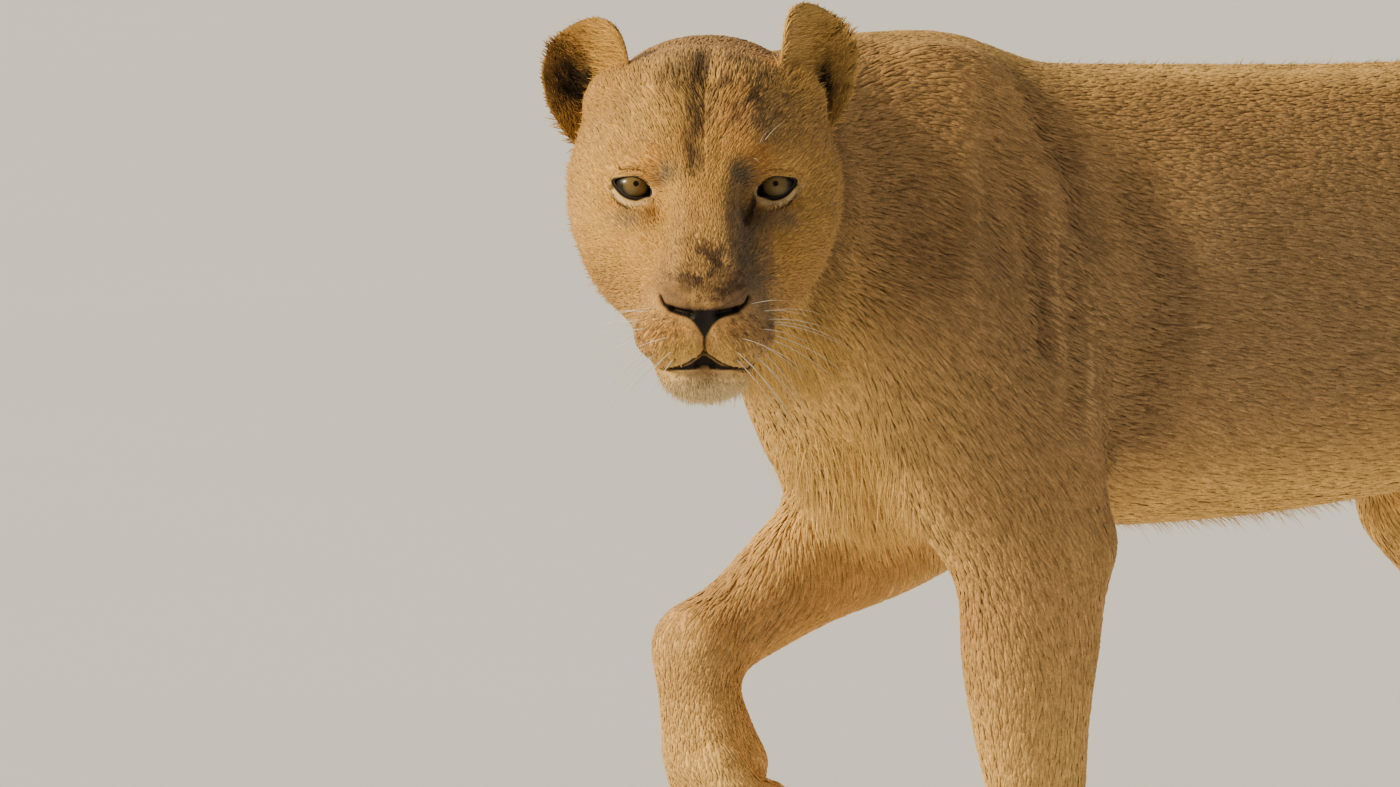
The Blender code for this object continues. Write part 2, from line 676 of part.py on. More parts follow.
def make_ear(name, foot, tip, facing, head, collections):
    """A rounded cup, trimmed where it meets the head."""
    foot, tip = on_head(*foot), on_head(*tip)
    upright = (tip - foot).normalized()
    opening = FORWARD * facing[0] + TO_LEFT * facing[1] + UPWARD * facing[2]
    across = upright.cross(opening).normalized()
    opening = across.cross(upright)
    shape = bmesh.new()
    rows = []
    for row in range(9):
        share = row / 8
        wide = EAR_HALF_WIDTH * (0.42 + 0.58 * math.sin(math.pi / 2 * min(share / 0.55, 1)))
        line = []
        for column in range(11):
            aside = column / 5 - 1
            high = EAR_HEIGHT * share * (1 - 0.42 * share * (1 - math.sqrt(1 - aside**2)))
            deep = EAR_HOLLOW * (1 - aside**2) * (1 - 0.45 * share)
            line.append(shape.verts.new(foot + upright * high + across * wide * aside - opening * deep))
        rows.append(line)
    for lower, upper in zip(rows[:-1], rows[1:]):
        for i in range(10):
            shape.faces.new((lower[i], lower[i + 1], upper[i + 1], upper[i]))
    mesh = bpy.data.meshes.new(name)
    shape.to_mesh(mesh)
    shape.free()
    cup = new_object(name, mesh, collections["cutters"])
    thicken = cup.modifiers.new("thickness", "SOLIDIFY")
    thicken.thickness = EAR_THICKNESS
    thicken.offset = 0
    grown = new_object("grown_head", head.data.copy(), collections["cutters"])
    swell = grown.modifiers.new("swell", "DISPLACE")
    swell.strength = KERF
    swell.mid_level = 0
    ear = boolean(cup, grown, "DIFFERENCE", "ear", collections["parts"])
    bpy.data.objects.remove(cup)
    ear.name = name
    return ear


def make_eye(name, side, radius, collection):
    ball = bmesh.new()
    bmesh.ops.create_uvsphere(ball, u_segments=14, v_segments=9, radius=radius)
    ball.transform(Matrix.Translation(on_head(-EYE_DEPTH, side * EYE_APART, 0)))
    mesh = bpy.data.meshes.new(name)
    ball.to_mesh(mesh)
    ball.free()
    return new_object(name, mesh, collection)


def add_head_parts(head, collections):
    """Sockets with an eyeball in each, and two ears. Returns the head and the new pieces."""
    pieces = []
    for side, word in ((-1, "right"), (1, "left")):
        pieces.append(make_eye(f"{word}_eye", side, EYE_RADIUS, collections["parts"]))
        hollow = make_eye("socket", side, EYE_RADIUS + KERF, collections["cutters"])
        bored = boolean(head, hollow, "DIFFERENCE", "bored", collections["parts"])
        bpy.data.objects.remove(head)
        head = bored
    head.name = "head"
    for word, (foot, tip, facing) in (("right", RIGHT_EAR), ("left", LEFT_EAR)):
        pieces.append(make_ear(f"{word}_ear", foot, tip, facing, head, collections))
    return [head, *pieces]


# ---------------------------------------------------------------- materials and placing
COAT = (0.52, 0.34, 0.17)
COLOURS = {
    "head": (0.55, 0.36, 0.18),
    "neck": (0.54, 0.37, 0.20),
    "trunk": COAT,
    "tail": COAT,
    "tail_tuft": (0.06, 0.035, 0.02),
    "ear": (0.45, 0.27, 0.12),
    "eye": (0.30, 0.20, 0.05),
}


def paint(piece):
    """Gives the piece a material of its own."""
    name = piece.name
    kind = name if name in COLOURS else name.rsplit("_", 1)[-1]
    material = bpy.data.materials.new(name + "_coat" if kind != "eye" else name + "_surface")
    material.use_nodes = True
    shader = material.node_tree.nodes["Principled BSDF"]
    shader.inputs["Base Color"].default_value = (*COLOURS.get(kind, COAT), 1)
    shader.inputs["Roughness"].default_value = 0.12 if kind == "eye" else 0.85
    piece.data.materials.clear()
    piece.data.materials.append(material)
    for face in piece.data.polygons:
        face.use_smooth = True
        face.material_index = 0


def stand_on_origin(pieces, collection):
    """Hangs all of them on an empty that puts the middle of their box's floor at the origin."""
    corners = np.array([vertex.co for piece in pieces for vertex in piece.data.vertices])
    low, high = corners.min(0), corners.max(0)
    stand = new_object("lioness_place", None, collection)
    stand.location = (-(low[0] + high[0]) / 2, -(low[1] + high[1]) / 2, -low[2])
    for piece in pieces:
        piece.parent = stand


def flat_soles(skin, collections):
    """Cuts the paws that stand on the floor flat at one level."""
    below = [Vector((x, y, z)) for x in (-1, 1) for y in (-1, 1) for z in (-0.5, SOLES)]
    return boolean(skin, cutting_block(below, collections["cutters"]), "DIFFERENCE", "flat", collections["parts"])


def make_lioness():
    for item in list(bpy.data.objects):
        bpy.data.objects.remove(item)
    collections = {}
    for key, name in (("parts", "lioness"), ("cutters", "lioness_cutters")):
        collections[key] = bpy.data.collections.new(name)
        bpy.context.scene.collection.children.link(collections[key])
    skin = make_skin(Form(), collections["cutters"])
    standing = flat_soles(skin, collections)
    bpy.data.objects.remove(skin)
    head, *others = saw_body(standing, collections)
    pieces = [*add_head_parts(head, collections), *others]
    for piece in pieces:
        paint(piece)
    stand_on_origin(pieces, collections["parts"])
    for tool in collections["cutters"].objects:
        tool.hide_render = True
        tool.display_type = "WIRE"


make_lioness()
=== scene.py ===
# A lioness in mid-stride, dressed for show: skin, coat, ears, eyes, claws and whiskers
import math

import bmesh
import bpy
import numpy as np
from mathutils import Matrix, Vector
from mathutils.bvhtree import BVHTree


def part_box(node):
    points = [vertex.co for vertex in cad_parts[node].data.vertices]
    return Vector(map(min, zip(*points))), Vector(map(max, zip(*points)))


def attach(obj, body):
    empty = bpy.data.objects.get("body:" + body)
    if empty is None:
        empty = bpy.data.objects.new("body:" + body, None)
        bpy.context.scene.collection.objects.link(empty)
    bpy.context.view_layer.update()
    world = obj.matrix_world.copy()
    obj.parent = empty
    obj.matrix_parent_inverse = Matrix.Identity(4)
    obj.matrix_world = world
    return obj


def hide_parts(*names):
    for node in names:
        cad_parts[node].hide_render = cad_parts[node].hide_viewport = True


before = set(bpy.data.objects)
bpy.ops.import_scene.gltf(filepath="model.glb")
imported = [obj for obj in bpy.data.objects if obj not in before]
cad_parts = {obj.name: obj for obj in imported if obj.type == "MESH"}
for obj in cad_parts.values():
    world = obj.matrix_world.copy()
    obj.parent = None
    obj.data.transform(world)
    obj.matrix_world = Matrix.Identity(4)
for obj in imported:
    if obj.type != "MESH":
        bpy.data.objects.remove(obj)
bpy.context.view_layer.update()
rng = np.random.default_rng(7)

# her head has a frame of its own: ahead, to her left and up, from midway between the pupils
headSet = {
    "turn": 63,  # degrees from straight ahead, to her left
    "lift": 5,  # degrees above level
    "middle": (-0.762, -0.335, 0.821),  # in her own measures, before she is set in the frame
    "eyeApart": 0.0605,  # from the middle of the head to the middle of an eye
    "eyeRadius": 0.0185,
    "eyeDepth": 0.0215,  # from the pupil's surface back to the middle of the eyeball
}
turn, lift = math.radians(headSet["turn"]), math.radians(headSet["lift"])
ahead = np.array((-math.cos(turn) * math.cos(lift), -math.sin(turn) * math.cos(lift), math.sin(lift)))
toLeft = np.array((math.sin(turn), -math.cos(turn), 0.0))
upward = np.cross(ahead, toLeft)
headAxes = np.array((ahead, toLeft, upward))
worldAxes = np.eye(3)
headMiddle = np.array(headSet["middle"])
acrossBody = (0.0, 1.0, 0.0)
down = np.array((0, 0, -1))


def boxMiddle(node):
    low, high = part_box(node)
    return np.array((low + high) / 2)


def held(values):
    # no less than 0 and no more than 1
    return np.clip(values, 0, 1)


def unit(vectors):
    # a list of vectors, each made one long
    return vectors / np.maximum(np.linalg.norm(vectors, axis=1), 1e-9)[:, None]


eyesNow = (boxMiddle("left_eye") + boxMiddle("right_eye")) / 2 + ahead * headSet["eyeDepth"]
shift = eyesNow - headMiddle  # from her own measures to the frame


def onHead(forward, left, up):
    return headMiddle + ahead * forward + toLeft * left + upward * up


def inHead(points):
    return (points - headMiddle) @ headAxes.T


# forms: rows of oval sections, each (place, half width, half height)
standing = {"toeHeight": 0.0205, "soles": 0.006}
toeSet = {
    "places": (-1.5, -0.5, 0.5, 1.5),  # across the paw, counted in gaps between toes
    "shorter": 0.13,  # how much shorter the outer toes are than the inner ones
    "fore": {"radius": 0.0215, "gap": 0.0280},
    "hind": {"radius": 0.0203, "gap": 0.0262},
}
leftForeleg = (
    (-0.385, -0.072, 0.872),
    (-0.428, -0.108, 0.690),
    (-0.318, -0.116, 0.465),
    (-0.308, -0.098, 0.168),
    (-0.350, -0.092, 0.056),
    (-0.426, -0.090, standing["toeHeight"]),
)
rightForeleg = (
    (-0.385, 0.072, 0.865),
    (-0.446, 0.098, 0.690),
    (-0.325, 0.108, 0.487),
    (-0.556, 0.085, 0.378),
    (-0.552, 0.080, 0.285),
    (-0.498, 0.078, 0.236),
)
leftHindleg = (
    (0.370, -0.072, 0.725),
    (0.315, -0.112, 0.465),
    (0.575, -0.092, 0.275),
    (0.590, -0.086, 0.052),
    (0.520, -0.084, standing["toeHeight"]),
)
rightHindleg = (
    (0.360, 0.072, 0.725),
    (0.205, 0.112, 0.480),
    (0.330, 0.094, 0.235),
    (0.165, 0.082, 0.055),
    (0.092, 0.080, standing["toeHeight"]),
)
tailLine = (
    (0.480, 0.000, 0.800),
    (0.570, 0.000, 0.770),
    (0.645, 0.004, 0.680),
    (0.690, 0.010, 0.560),
    (0.715, 0.014, 0.440),
    (0.745, 0.012, 0.330),
    (0.790, 0.006, 0.250),
    (0.820, 0.002, 0.215),
    (0.855, -0.004, 0.185),
    (0.885, -0.008, 0.165),
)


def row(sections, across=acrossBody, blend=0.03, cap=0.8, box=2.0):
    # blend: how softly it joins the rest, cap: how round its ends are, box: how square its sections are
    table = np.array([(*place, wide, high) for place, wide, high in sections], float)
    return {"table": table, "across": across, "blend": blend, "cap": cap, "box": box}


def boneRow(start, end, sections):
    # sections along a bone, as (share of its length, half width, half depth, shift ahead)
    start, end = Vector(start), Vector(end)
    front = Vector(acrossBody).cross(end - start).normalized()
    return [(start.lerp(end, share) + front * push, wide, deep) for share, wide, deep, push in sections]


def trunkForms():
    barrel = [
        ((-0.455, 0, 0.715), 0.090, 0.150),
        ((-0.380, 0, 0.700), 0.122, 0.195),
        ((-0.270, 0, 0.686), 0.143, 0.205),
        ((-0.120, 0, 0.682), 0.158, 0.204),
        ((0.040, 0, 0.686), 0.163, 0.196),
        ((0.180, 0, 0.699), 0.152, 0.185),
        ((0.310, 0, 0.721), 0.132, 0.172),
        ((0.410, 0, 0.752), 0.112, 0.138),
        ((0.480, 0, 0.768), 0.075, 0.092),
    ]
    withers = [
        ((-0.470, -0.008, 0.847), 0.042, 0.052),
        ((-0.385, 0, 0.856), 0.048, 0.050),
        ((-0.305, 0, 0.842), 0.040, 0.045),
    ]
    breast = [
        ((-0.460, -0.015, 0.640), 0.075, 0.065),
        ((-0.440, -0.005, 0.560), 0.060, 0.062),
        ((-0.370, 0, 0.527), 0.050, 0.050),
    ]
    neck = [
        ((-0.380, 0.000, 0.740), 0.110, 0.165),
        ((-0.480, -0.025, 0.752), 0.108, 0.163),
        ((-0.570, -0.075, 0.775), 0.098, 0.145),
        ((-0.640, -0.135, 0.800), 0.092, 0.125),
        ((-0.695, -0.200, 0.825), 0.092, 0.108),
    ]
    return [
        row(barrel, cap=0.5, box=2.2),
        row(withers, blend=0.05),
        row(breast, blend=0.05),
        row(neck, None, blend=0.07, cap=0.4),  # it turns with her head
    ]


def headForms():
    def single(place, wide, high, long, **kinds):
        reach = max(long - 0.5 * (wide + high) * 0.8, 0.002)
        forward, left, up = place
        ends = [(onHead(forward + way * reach, left, up), wide, high) for way in (-1, 1)]
        return row(ends, toLeft, **kinds)

    def headRow(sections, **kinds):
        return row([(onHead(*place), wide, high) for place, wide, high in sections], toLeft, **kinds)

    forms = [
        single((-0.118, 0, 0.024), 0.096, 0.100, 0.100, blend=0.05, box=2.35),
        single((-0.076, 0, 0.020), 0.080, 0.070, 0.068, blend=0.04),
    ]
    muzzle = [
        ((-0.030, 0, -0.072), 0.071, 0.058),
        ((0.020, 0, -0.092), 0.056, 0.054),
        ((0.062, 0, -0.108), 0.053, 0.044),
        ((0.080, 0, -0.116), 0.048, 0.036),
    ]
    bridge = [
        ((-0.045, 0, 0.044), 0.058, 0.040),
        ((-0.018, 0, 0.014), 0.044, 0.040),
        ((0.012, 0, -0.016), 0.034, 0.035),
        ((0.050, 0, -0.050), 0.031, 0.031),
        ((0.084, 0, -0.083), 0.034, 0.023),
    ]
    jaw = [
        ((-0.080, 0, -0.082), 0.072, 0.045),
        ((-0.020, 0, -0.122), 0.054, 0.036),
        ((0.042, 0, -0.150), 0.038, 0.027),
    ]
    forms += [
        headRow(muzzle, blend=0.035, cap=0.7, box=2.3),
        headRow(bridge, blend=0.022, cap=0.7, box=2.5),
        headRow(jaw, blend=0.03, cap=0.7),
    ]
    for side in (-1, 1):
        cheek = [
            ((-0.105, side * 0.067, -0.010), 0.045, 0.074),
            ((-0.060, side * 0.062, -0.040), 0.043, 0.062),
        ]
        cheekbone = [
            ((-0.085, side * 0.082, -0.008), 0.024, 0.038),
            ((-0.030, side * 0.070, -0.036), 0.024, 0.030),
            ((0.006, side * 0.047, -0.056), 0.021, 0.026),
        ]
        brow = [
            ((-0.070, side * 0.084, 0.026), 0.022, 0.026),
            ((-0.038, side * 0.068, 0.030), 0.021, 0.020),
            ((-0.018, side * 0.040, 0.030), 0.022, 0.020),
        ]
        pad = [
            ((0.052, side * 0.030, -0.122), 0.031, 0.031),
            ((0.080, side * 0.0255, -0.127), 0.027, 0.026),
        ]
        earFoot = [
            ((-0.095, side * 0.068, 0.064), 0.036, 0.036),
            ((-0.096, side * 0.079, 0.080), 0.024, 0.027),
        ]
        forms += [
            headRow(cheek, blend=0.035),
            headRow(cheekbone, blend=0.03),
            headRow(brow, blend=0.030),
            headRow(pad, blend=0.014),
            headRow(earFoot, blend=0.03),
        ]
    forms += [
        single((0.092, 0, -0.099), 0.037, 0.017, 0.024, blend=0.018, box=2.3),  # nose
        single((0.096, 0, -0.112), 0.018, 0.018, 0.018, blend=0.012),
        single((0.048, 0, -0.159), 0.036, 0.022, 0.030, blend=0.014),  # chin
    ]
    return forms


def toePlaces():
    # (place across the paw, share of the full length) of each toe
    for place in toeSet["places"]:
        yield place, 1 - toeSet["shorter"] * (abs(place) - 0.5)


def toeForms(knuckles, tip, paw, rise):
    knuckles, tip = Vector(knuckles), Vector(tip)
    reach = tip - knuckles
    radius = toeSet[paw]["radius"]
    forms = []
    for place, short in toePlaces():
        aside = Vector(acrossBody) * toeSet[paw]["gap"] * place
        toe = [
            (knuckles + aside * 0.75, radius, radius),
            (knuckles + reach * 0.55 * short + aside + Vector(rise), radius * 1.05, radius * 1.05),
            (knuckles + reach * short + aside, radius * 0.92, radius * 0.95),
        ]
        forms.append(row(toe, blend=0.009))
    return forms


def padForm(knuckles, tip, sole):
    knuckles, tip, sole = Vector(knuckles), Vector(tip), Vector(sole)
    back = knuckles - (tip - knuckles) * 0.10 + sole * 0.032
    front = knuckles.lerp(tip, 0.45) + sole * 0.019
    return row([(back, 0.033, 0.024), (front, 0.038, 0.021)], blend=0.014)


def forelegForms(side, joints, rise, sole):
    top, shoulder, elbow, wrist, knuckles, tip = (Vector(joint) for joint in joints)
    blade = boneRow(top, shoulder, [(0, 0.030, 0.070, 0), (0.45, 0.046, 0.098, 0), (1, 0.058, 0.080, 0)])
    upper = [(0, 0.056, 0.080, 0), (0.5, 0.054, 0.086, 0.014), (1, 0.048, 0.066, 0.004)]
    triceps = [
        (top.lerp(shoulder, 0.5) + Vector((0.075, side * 0.012, 0)), 0.034, 0.050),
        (shoulder.lerp(elbow, 0.55) + Vector((0.060, side * 0.012, 0)), 0.038, 0.048),
        (elbow + Vector((0.042, side * 0.004, 0.014)), 0.026, 0.028),
    ]
    lower = [
        (-0.04, 0.046, 0.062, 0),
        (0.22, 0.049, 0.067, 0.010),
        (0.48, 0.043, 0.056, 0.010),
        (0.80, 0.036, 0.042, 0.001),
        (1.00, 0.038, 0.040, 0.002),
    ]
    toPaw = boneRow(wrist, knuckles, [(0, 0.038, 0.038, 0), (0.55, 0.042, 0.035, 0), (1, 0.049, 0.032, 0)])
    return [
        row(blade, blend=0.035),
        row(boneRow(shoulder, elbow, upper), blend=0.040),
        row(triceps, blend=0.030),
        row(boneRow(elbow, wrist, lower), blend=0.030),
        row(toPaw, blend=0.020),
        padForm(knuckles, tip, sole),
        *toeForms(knuckles, tip, "fore", rise),
    ]


def hindlegForms(side, joints):
    hip, knee, hock, ball, tip = (Vector(joint) for joint in joints)
    rump = hip + Vector((0.0, -side * 0.02, 0.09))
    haunch = boneRow(rump, hip, [(0, 0.060, 0.095, 0), (1, 0.078, 0.125, 0)])
    thigh = boneRow(hip, knee, [(0, 0.078, 0.135, -0.01), (0.5, 0.068, 0.120, -0.014), (1, 0.050, 0.068, 0)])
    hamstring = [
        (Vector((0.475, hip.y * 0.9, 0.735)), 0.050, 0.055),
        (hip.lerp(knee, 0.66) + Vector((0.095, side * 0.010, 0.01)), 0.044, 0.052),
        (knee.lerp(hock, 0.34) + Vector((0.026, 0, 0.012)), 0.034, 0.036),
    ]
    flank = Vector((knee.x - 0.02, side * 0.125, 0.60))
    foldStart = flank + Vector((-0.06, -side * 0.02, 0.03))
    fold = [(foldStart, 0.030, 0.050), (flank, 0.030, 0.050), (knee, 0.034, 0.045)]
    shank = [
        (0, 0.046, 0.062, 0),
        (0.30, 0.041, 0.054, -0.006),
        (0.65, 0.030, 0.036, -0.004),
        (0.92, 0.026, 0.030, 0),
        (1.00, 0.026, 0.030, 0),
    ]
    heelBone = [
        (hock + Vector((0.024, 0, 0.030)), 0.018, 0.020),
        (hock.lerp(ball, 0.30) + Vector((0.010, 0, 0)), 0.024, 0.026),
    ]
    foot = boneRow(hock, ball, [(0, 0.029, 0.036, 0), (0.5, 0.031, 0.031, 0), (1, 0.044, 0.032, 0)])
    return [
        row(haunch, blend=0.050),
        row(thigh, blend=0.050),
        row(hamstring, blend=0.045),
        row(fold, blend=0.060),
        row(boneRow(knee, hock, shank), blend=0.030),
        row(heelBone, blend=0.030),
        row(foot, blend=0.030),
        padForm(ball, tip, (0, 0, -1)),
        *toeForms(ball, tip, "hind", (0, 0, 0.016)),
    ]


def tailForms():
    thick = (0.035, 0.0275, 0.0215, 0.017, 0.015, 0.014, 0.017)
    tuft = ((6, 0.020), (7, 0.029), (8, 0.024), (9, 0.010))
    return [
        row([(place, radius, radius) for place, radius in zip(tailLine, thick)], blend=0.035),
        row([(tailLine[i], radius, radius) for i, radius in tuft], blend=0.012),
    ]


# measuring the forms
def splinePoint(before, start, end, after, t):
    # the point a share t of the way from start to end, on a smooth curve through all four
    bend = (2 * before - 5 * start + 4 * end - after) * t**2
    return 0.5 * (2 * start + (end - before) * t + bend + (3 * start - before - 3 * end + after) * t**3)


def sectionsOf(form, steps=3):
    # the sections of a form, with more set between them on a smooth curve
    table = form["table"]
    if len(table) < 3:
        return table
    padded = np.vstack((table[:1], table, table[-1:]))
    curve = []
    for i in range(len(table) - 1):
        curve += [splinePoint(*padded[i : i + 4], t) for t in np.arange(steps) / steps]
    return np.array([*curve, padded[-1]])


def levelOfRow(form, points):
    # roughly how far each point lies outside this row of ovals
    rows = sectionsOf(form)
    box, nearest = form["box"], np.full(len(points), 1e3)
    for first, last in zip(rows[:-1], rows[1:]):
        along = last[:3] - first[:3]
        length = max(np.linalg.norm(along), 1e-6)
        along = along / length
        across = np.cross((0, 0, 1), along) if form["across"] is None else np.array(form["across"])
        square = np.cross(along, across)
        square /= np.linalg.norm(square)
        across = np.cross(square, along)
        offset = points - first[:3]
        t = held(offset @ along / length)
        wide = first[3] + (last[3] - first[3]) * t
        high = first[4] + (last[4] - first[4]) * t
        end = form["cap"] * 0.5 * (wide + high)
        parts = (offset @ across / wide, offset @ square / high, (offset @ along - t * length) / end)
        power = sum(np.abs(part) ** box for part in parts)
        level = np.maximum(power, 1e-9) ** (1 / box)
        radii = (wide, high, end)
        slope = sum((np.abs(part) ** (box - 1) / radius) ** 2 for part, radius in zip(parts, radii))
        slope = np.sqrt(np.maximum(slope, 1e-12)) * level ** (1 - box)
        nearest = np.minimum(nearest, (level - 1) / slope)
    return nearest


def bump(points, place, axes, radii):
    # 1 at the middle of a place, falling smoothly to 0 at twice its radii
    parts = ((points - np.array(place)) @ np.array(axes).T / np.array(radii)) ** 2
    return held(1 - parts.sum(1) / 4) ** 3


# swells and dents: (place, radii, height), on both sides where the place has a second number
headSwells = [
    ((0.012, 0, 0.010), (0.030, 0.016, 0.030), -0.003),  # hollow between the eyes
    ((-0.020, 0, 0.100), (0.060, 0.012, 0.060), -0.003),  # crease down the forehead
    ((0.098, 0, -0.135), (0.030, 0.006, 0.030), -0.005),  # cleft of the upper lip
    ((-0.002, 0.0605, -0.001), (0.030, 0.019, 0.012), -0.006),  # eye socket
    ((0.010, 0.040, -0.018), (0.030, 0.012, 0.018), -0.004),  # inner corner of the eye
    ((0.050, 0.044, -0.080), (0.030, 0.012, 0.016), -0.003),  # beside the nose
    ((0.066, 0.048, -0.146), (0.040, 0.012, 0.006), -0.002),  # mouth's corner
    ((-0.010, 0.036, 0.028), (0.025, 0.011, 0.014), 0.0035),  # inner end of the brow
    ((-0.040, 0.036, 0.075), (0.040, 0.022, 0.030), 0.003),  # swell of the forehead
    ((-0.070, 0.105, 0.045), (0.040, 0.030, 0.020), -0.003),  # temple
]
bodySwells = [
    ((-0.220, 0.14, 0.70), (0.045, 0.080, 0.140), -0.010),  # behind the arm
    ((-0.405, 0.16, 0.77), (0.020, 0.060, 0.080), 0.004),  # spine of the shoulder blade
    ((0.235, 0.15, 0.60), (0.060, 0.060, 0.080), -0.012),  # flank before the thigh
]


def flipped(place, side):
    return place[0], place[1] * side, place[2]


def bothSides(places):
    for place, radii, height in places:
        for side in (1, -1) if place[1] else (1,):
            yield flipped(place, side), radii, height


def lidForm(side):
    # a ball of flesh a little larger than the eyeball
    ends = [onHead(-headSet["eyeDepth"], side * headSet["eyeApart"], way) for way in (-0.0001, 0.0001)]
    return row([(end, 0.0212, 0.0212) for end in ends], toLeft, blend=0.008, cap=1.0)


bodyForms = [
    *trunkForms(),
    *headForms(),
    *forelegForms(-1, leftForeleg, (0, 0, 0.020), (0, 0, -1)),
    *forelegForms(1, rightForeleg, (-0.012, 0, -0.010), (0.67, 0, 0.74)),
    *hindlegForms(-1, leftHindleg),
    *hindlegForms(1, rightHindleg),
    *tailForms(),
    lidForm(-1),
    lidForm(1),
]

# how far the skin lies inside the tips of the coat: (place, axes, radii, depth)
coatDepth = {
    "sharp": 1.5,  # how soon a place takes over from the body
    "body": 0.0028,
    "places": [
        (onHead(-0.10, 0, 0.0), headAxes, (0.12, 0.14, 0.14), 0.0026),
        (onHead(-0.02, 0, -0.02), headAxes, (0.10, 0.10, 0.12), 0.0015),
        (onHead(0.07, 0, -0.10), headAxes, (0.07, 0.07, 0.06), 0.0008),
        (onHead(0.0, 0.0605, 0), headAxes, (0.03, 0.022, 0.016), 0.0006),
        (onHead(0.0, -0.0605, 0), headAxes, (0.03, 0.022, 0.016), 0.0006),
        ((-0.47, -0.02, 0.60), worldAxes, (0.08, 0.10, 0.09), 0.0080),
        ((-0.62, -0.14, 0.69), worldAxes, (0.10, 0.12, 0.06), 0.0060),
        ((0.00, 0.00, 0.475), worldAxes, (0.36, 0.10, 0.035), 0.0065),
        (tailLine[7], worldAxes, (0.035, 0.05, 0.035), 0.0130),
        (tailLine[4], worldAxes, (0.060, 0.05, 0.150), 0.0028),
        (leftForeleg[5], worldAxes, (0.14, 0.10, 0.05), 0.0018),
        (rightForeleg[4], worldAxes, (0.10, 0.10, 0.10), 0.0018),
        (leftHindleg[4], worldAxes, (0.16, 0.10, 0.05), 0.0018),
        (rightHindleg[4], worldAxes, (0.16, 0.10, 0.05), 0.0018),
    ],
}


def byPlace(points, table):
    # the numbers that a table gives for her body, blended into what it gives for each place
    values = np.tile(np.array(table["body"]), (len(points), 1))
    for place, axes, radii, own in table["places"]:
        share = np.minimum(table["sharp"] * bump(points, place, axes, radii), 1)
        values += (np.array(own) - values) * share[:, None]
    return values


def skinLevel(points):
    # below 0 inside the skin, above 0 outside it
    level = np.full(len(points), 1e3)
    for form in bodyForms:
        table = form["table"]
        reach = table[:, 3:].max() + 0.07
        near = ((points > table[:, :3].min(0) - reach) & (points < table[:, :3].max(0) + reach)).all(1)
        if not near.any():
            continue
        apart, known = levelOfRow(form, points[near]), level[near]
        overlap = np.maximum(form["blend"] - np.abs(known - apart), 0) / form["blend"]
        level[near] = np.minimum(known, apart) - overlap**2 * form["blend"] / 4
    for place, radii, height in bothSides(headSwells):
        level -= height * bump(points, onHead(*place), headAxes, radii)
    for place, radii, height in bothSides(bodySwells):
        level -= height * bump(points, place, worldAxes, radii)
    level += byPlace(points, coatDepth)[:, 0]
    return np.maximum(level, standing["soles"] + 0.0004 - points[:, 2])


def settle(points, farthest):
    # each point moves along the slope of the level onto the skin
    step = 0.0006
    level = skinLevel(points)
    slope = np.empty_like(points)
    for axis in range(3):
        beside = points.copy()
        beside[:, axis] += step
        slope[:, axis] = (skinLevel(beside) - level) / step
    move = -(level / np.maximum((slope**2).sum(1), 0.25))[:, None] * slope
    length = np.linalg.norm(move, axis=1)
    return points + move * np.minimum(1, farthest / np.maximum(length, 1e-9))[:, None]


# meshes in and out of number arrays
def numbersOf(items, field, each=3, kind=float):
    flat = np.empty(len(items) * each, dtype=kind)
    items.foreach_get(field, flat)
    return flat.reshape(-1, each)


def pointsOf(mesh):
    return numbersOf(mesh.vertices, "co")


def normalsOf(mesh):
    return numbersOf(mesh.vertex_normals, "vector")


def edgesOf(mesh):
    return numbersOf(mesh.edges, "vertices", 2, np.int64)


def trianglesOf(mesh):
    mesh.calc_loop_triangles()
    return numbersOf(mesh.loop_triangles, "vertices", 3, np.int64)


def shadeSmooth(mesh):
    mesh.polygons.foreach_set("use_smooth", np.ones(len(mesh.polygons), bool))


def meshFrom(name, points, triangles):
    mesh = bpy.data.meshes.new(name)
    mesh.vertices.add(len(points))
    mesh.vertices.foreach_set("co", np.asarray(points, np.float32).ravel())
    mesh.loops.add(triangles.size)
    mesh.loops.foreach_set("vertex_index", np.asarray(triangles, np.int32).ravel())
    mesh.polygons.add(len(triangles))
    mesh.polygons.foreach_set("loop_start", np.arange(0, triangles.size, 3, dtype=np.int32))
    mesh.update(calc_edges=True)
    shadeSmooth(mesh)
    return mesh


def placeIn(name, data):
    made = bpy.data.objects.new(name, data)
    bpy.context.scene.collection.objects.link(made)
    return made


def finished(name, mesh, material, nodes=()):
    # sets a mesh made in her own measures into the frame, as a piece of the lioness
    mesh.transform(Matrix.Translation(Vector(shift)))
    made = placeIn(name, mesh)
    mesh.materials.clear()
    mesh.materials.append(material)
    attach(made, "root")
    if nodes:
        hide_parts(*nodes)


def facedOutward(mesh, weld=0.0):
    # turns every face outward, once points closer together than weld are one
    grid = bmesh.new()
    grid.from_mesh(mesh)
    if weld:
        bmesh.ops.remove_doubles(grid, verts=grid.verts, dist=weld)
    bmesh.ops.recalc_face_normals(grid, faces=grid.faces)
    grid.to_mesh(mesh)
    grid.free()
    return mesh


def keepColours(mesh, colours):
    layer = mesh.color_attributes.new("tone", "FLOAT_COLOR", "POINT")
    opaque = np.hstack((colours, np.ones((len(colours), 1))))
    layer.data.foreach_set("color", opaque.astype(np.float32).ravel())


def keepWet(mesh, wet):
    layer = mesh.attributes.new("wet", "FLOAT", "POINT")
    layer.data.foreach_set("value", np.asarray(wet, np.float32))


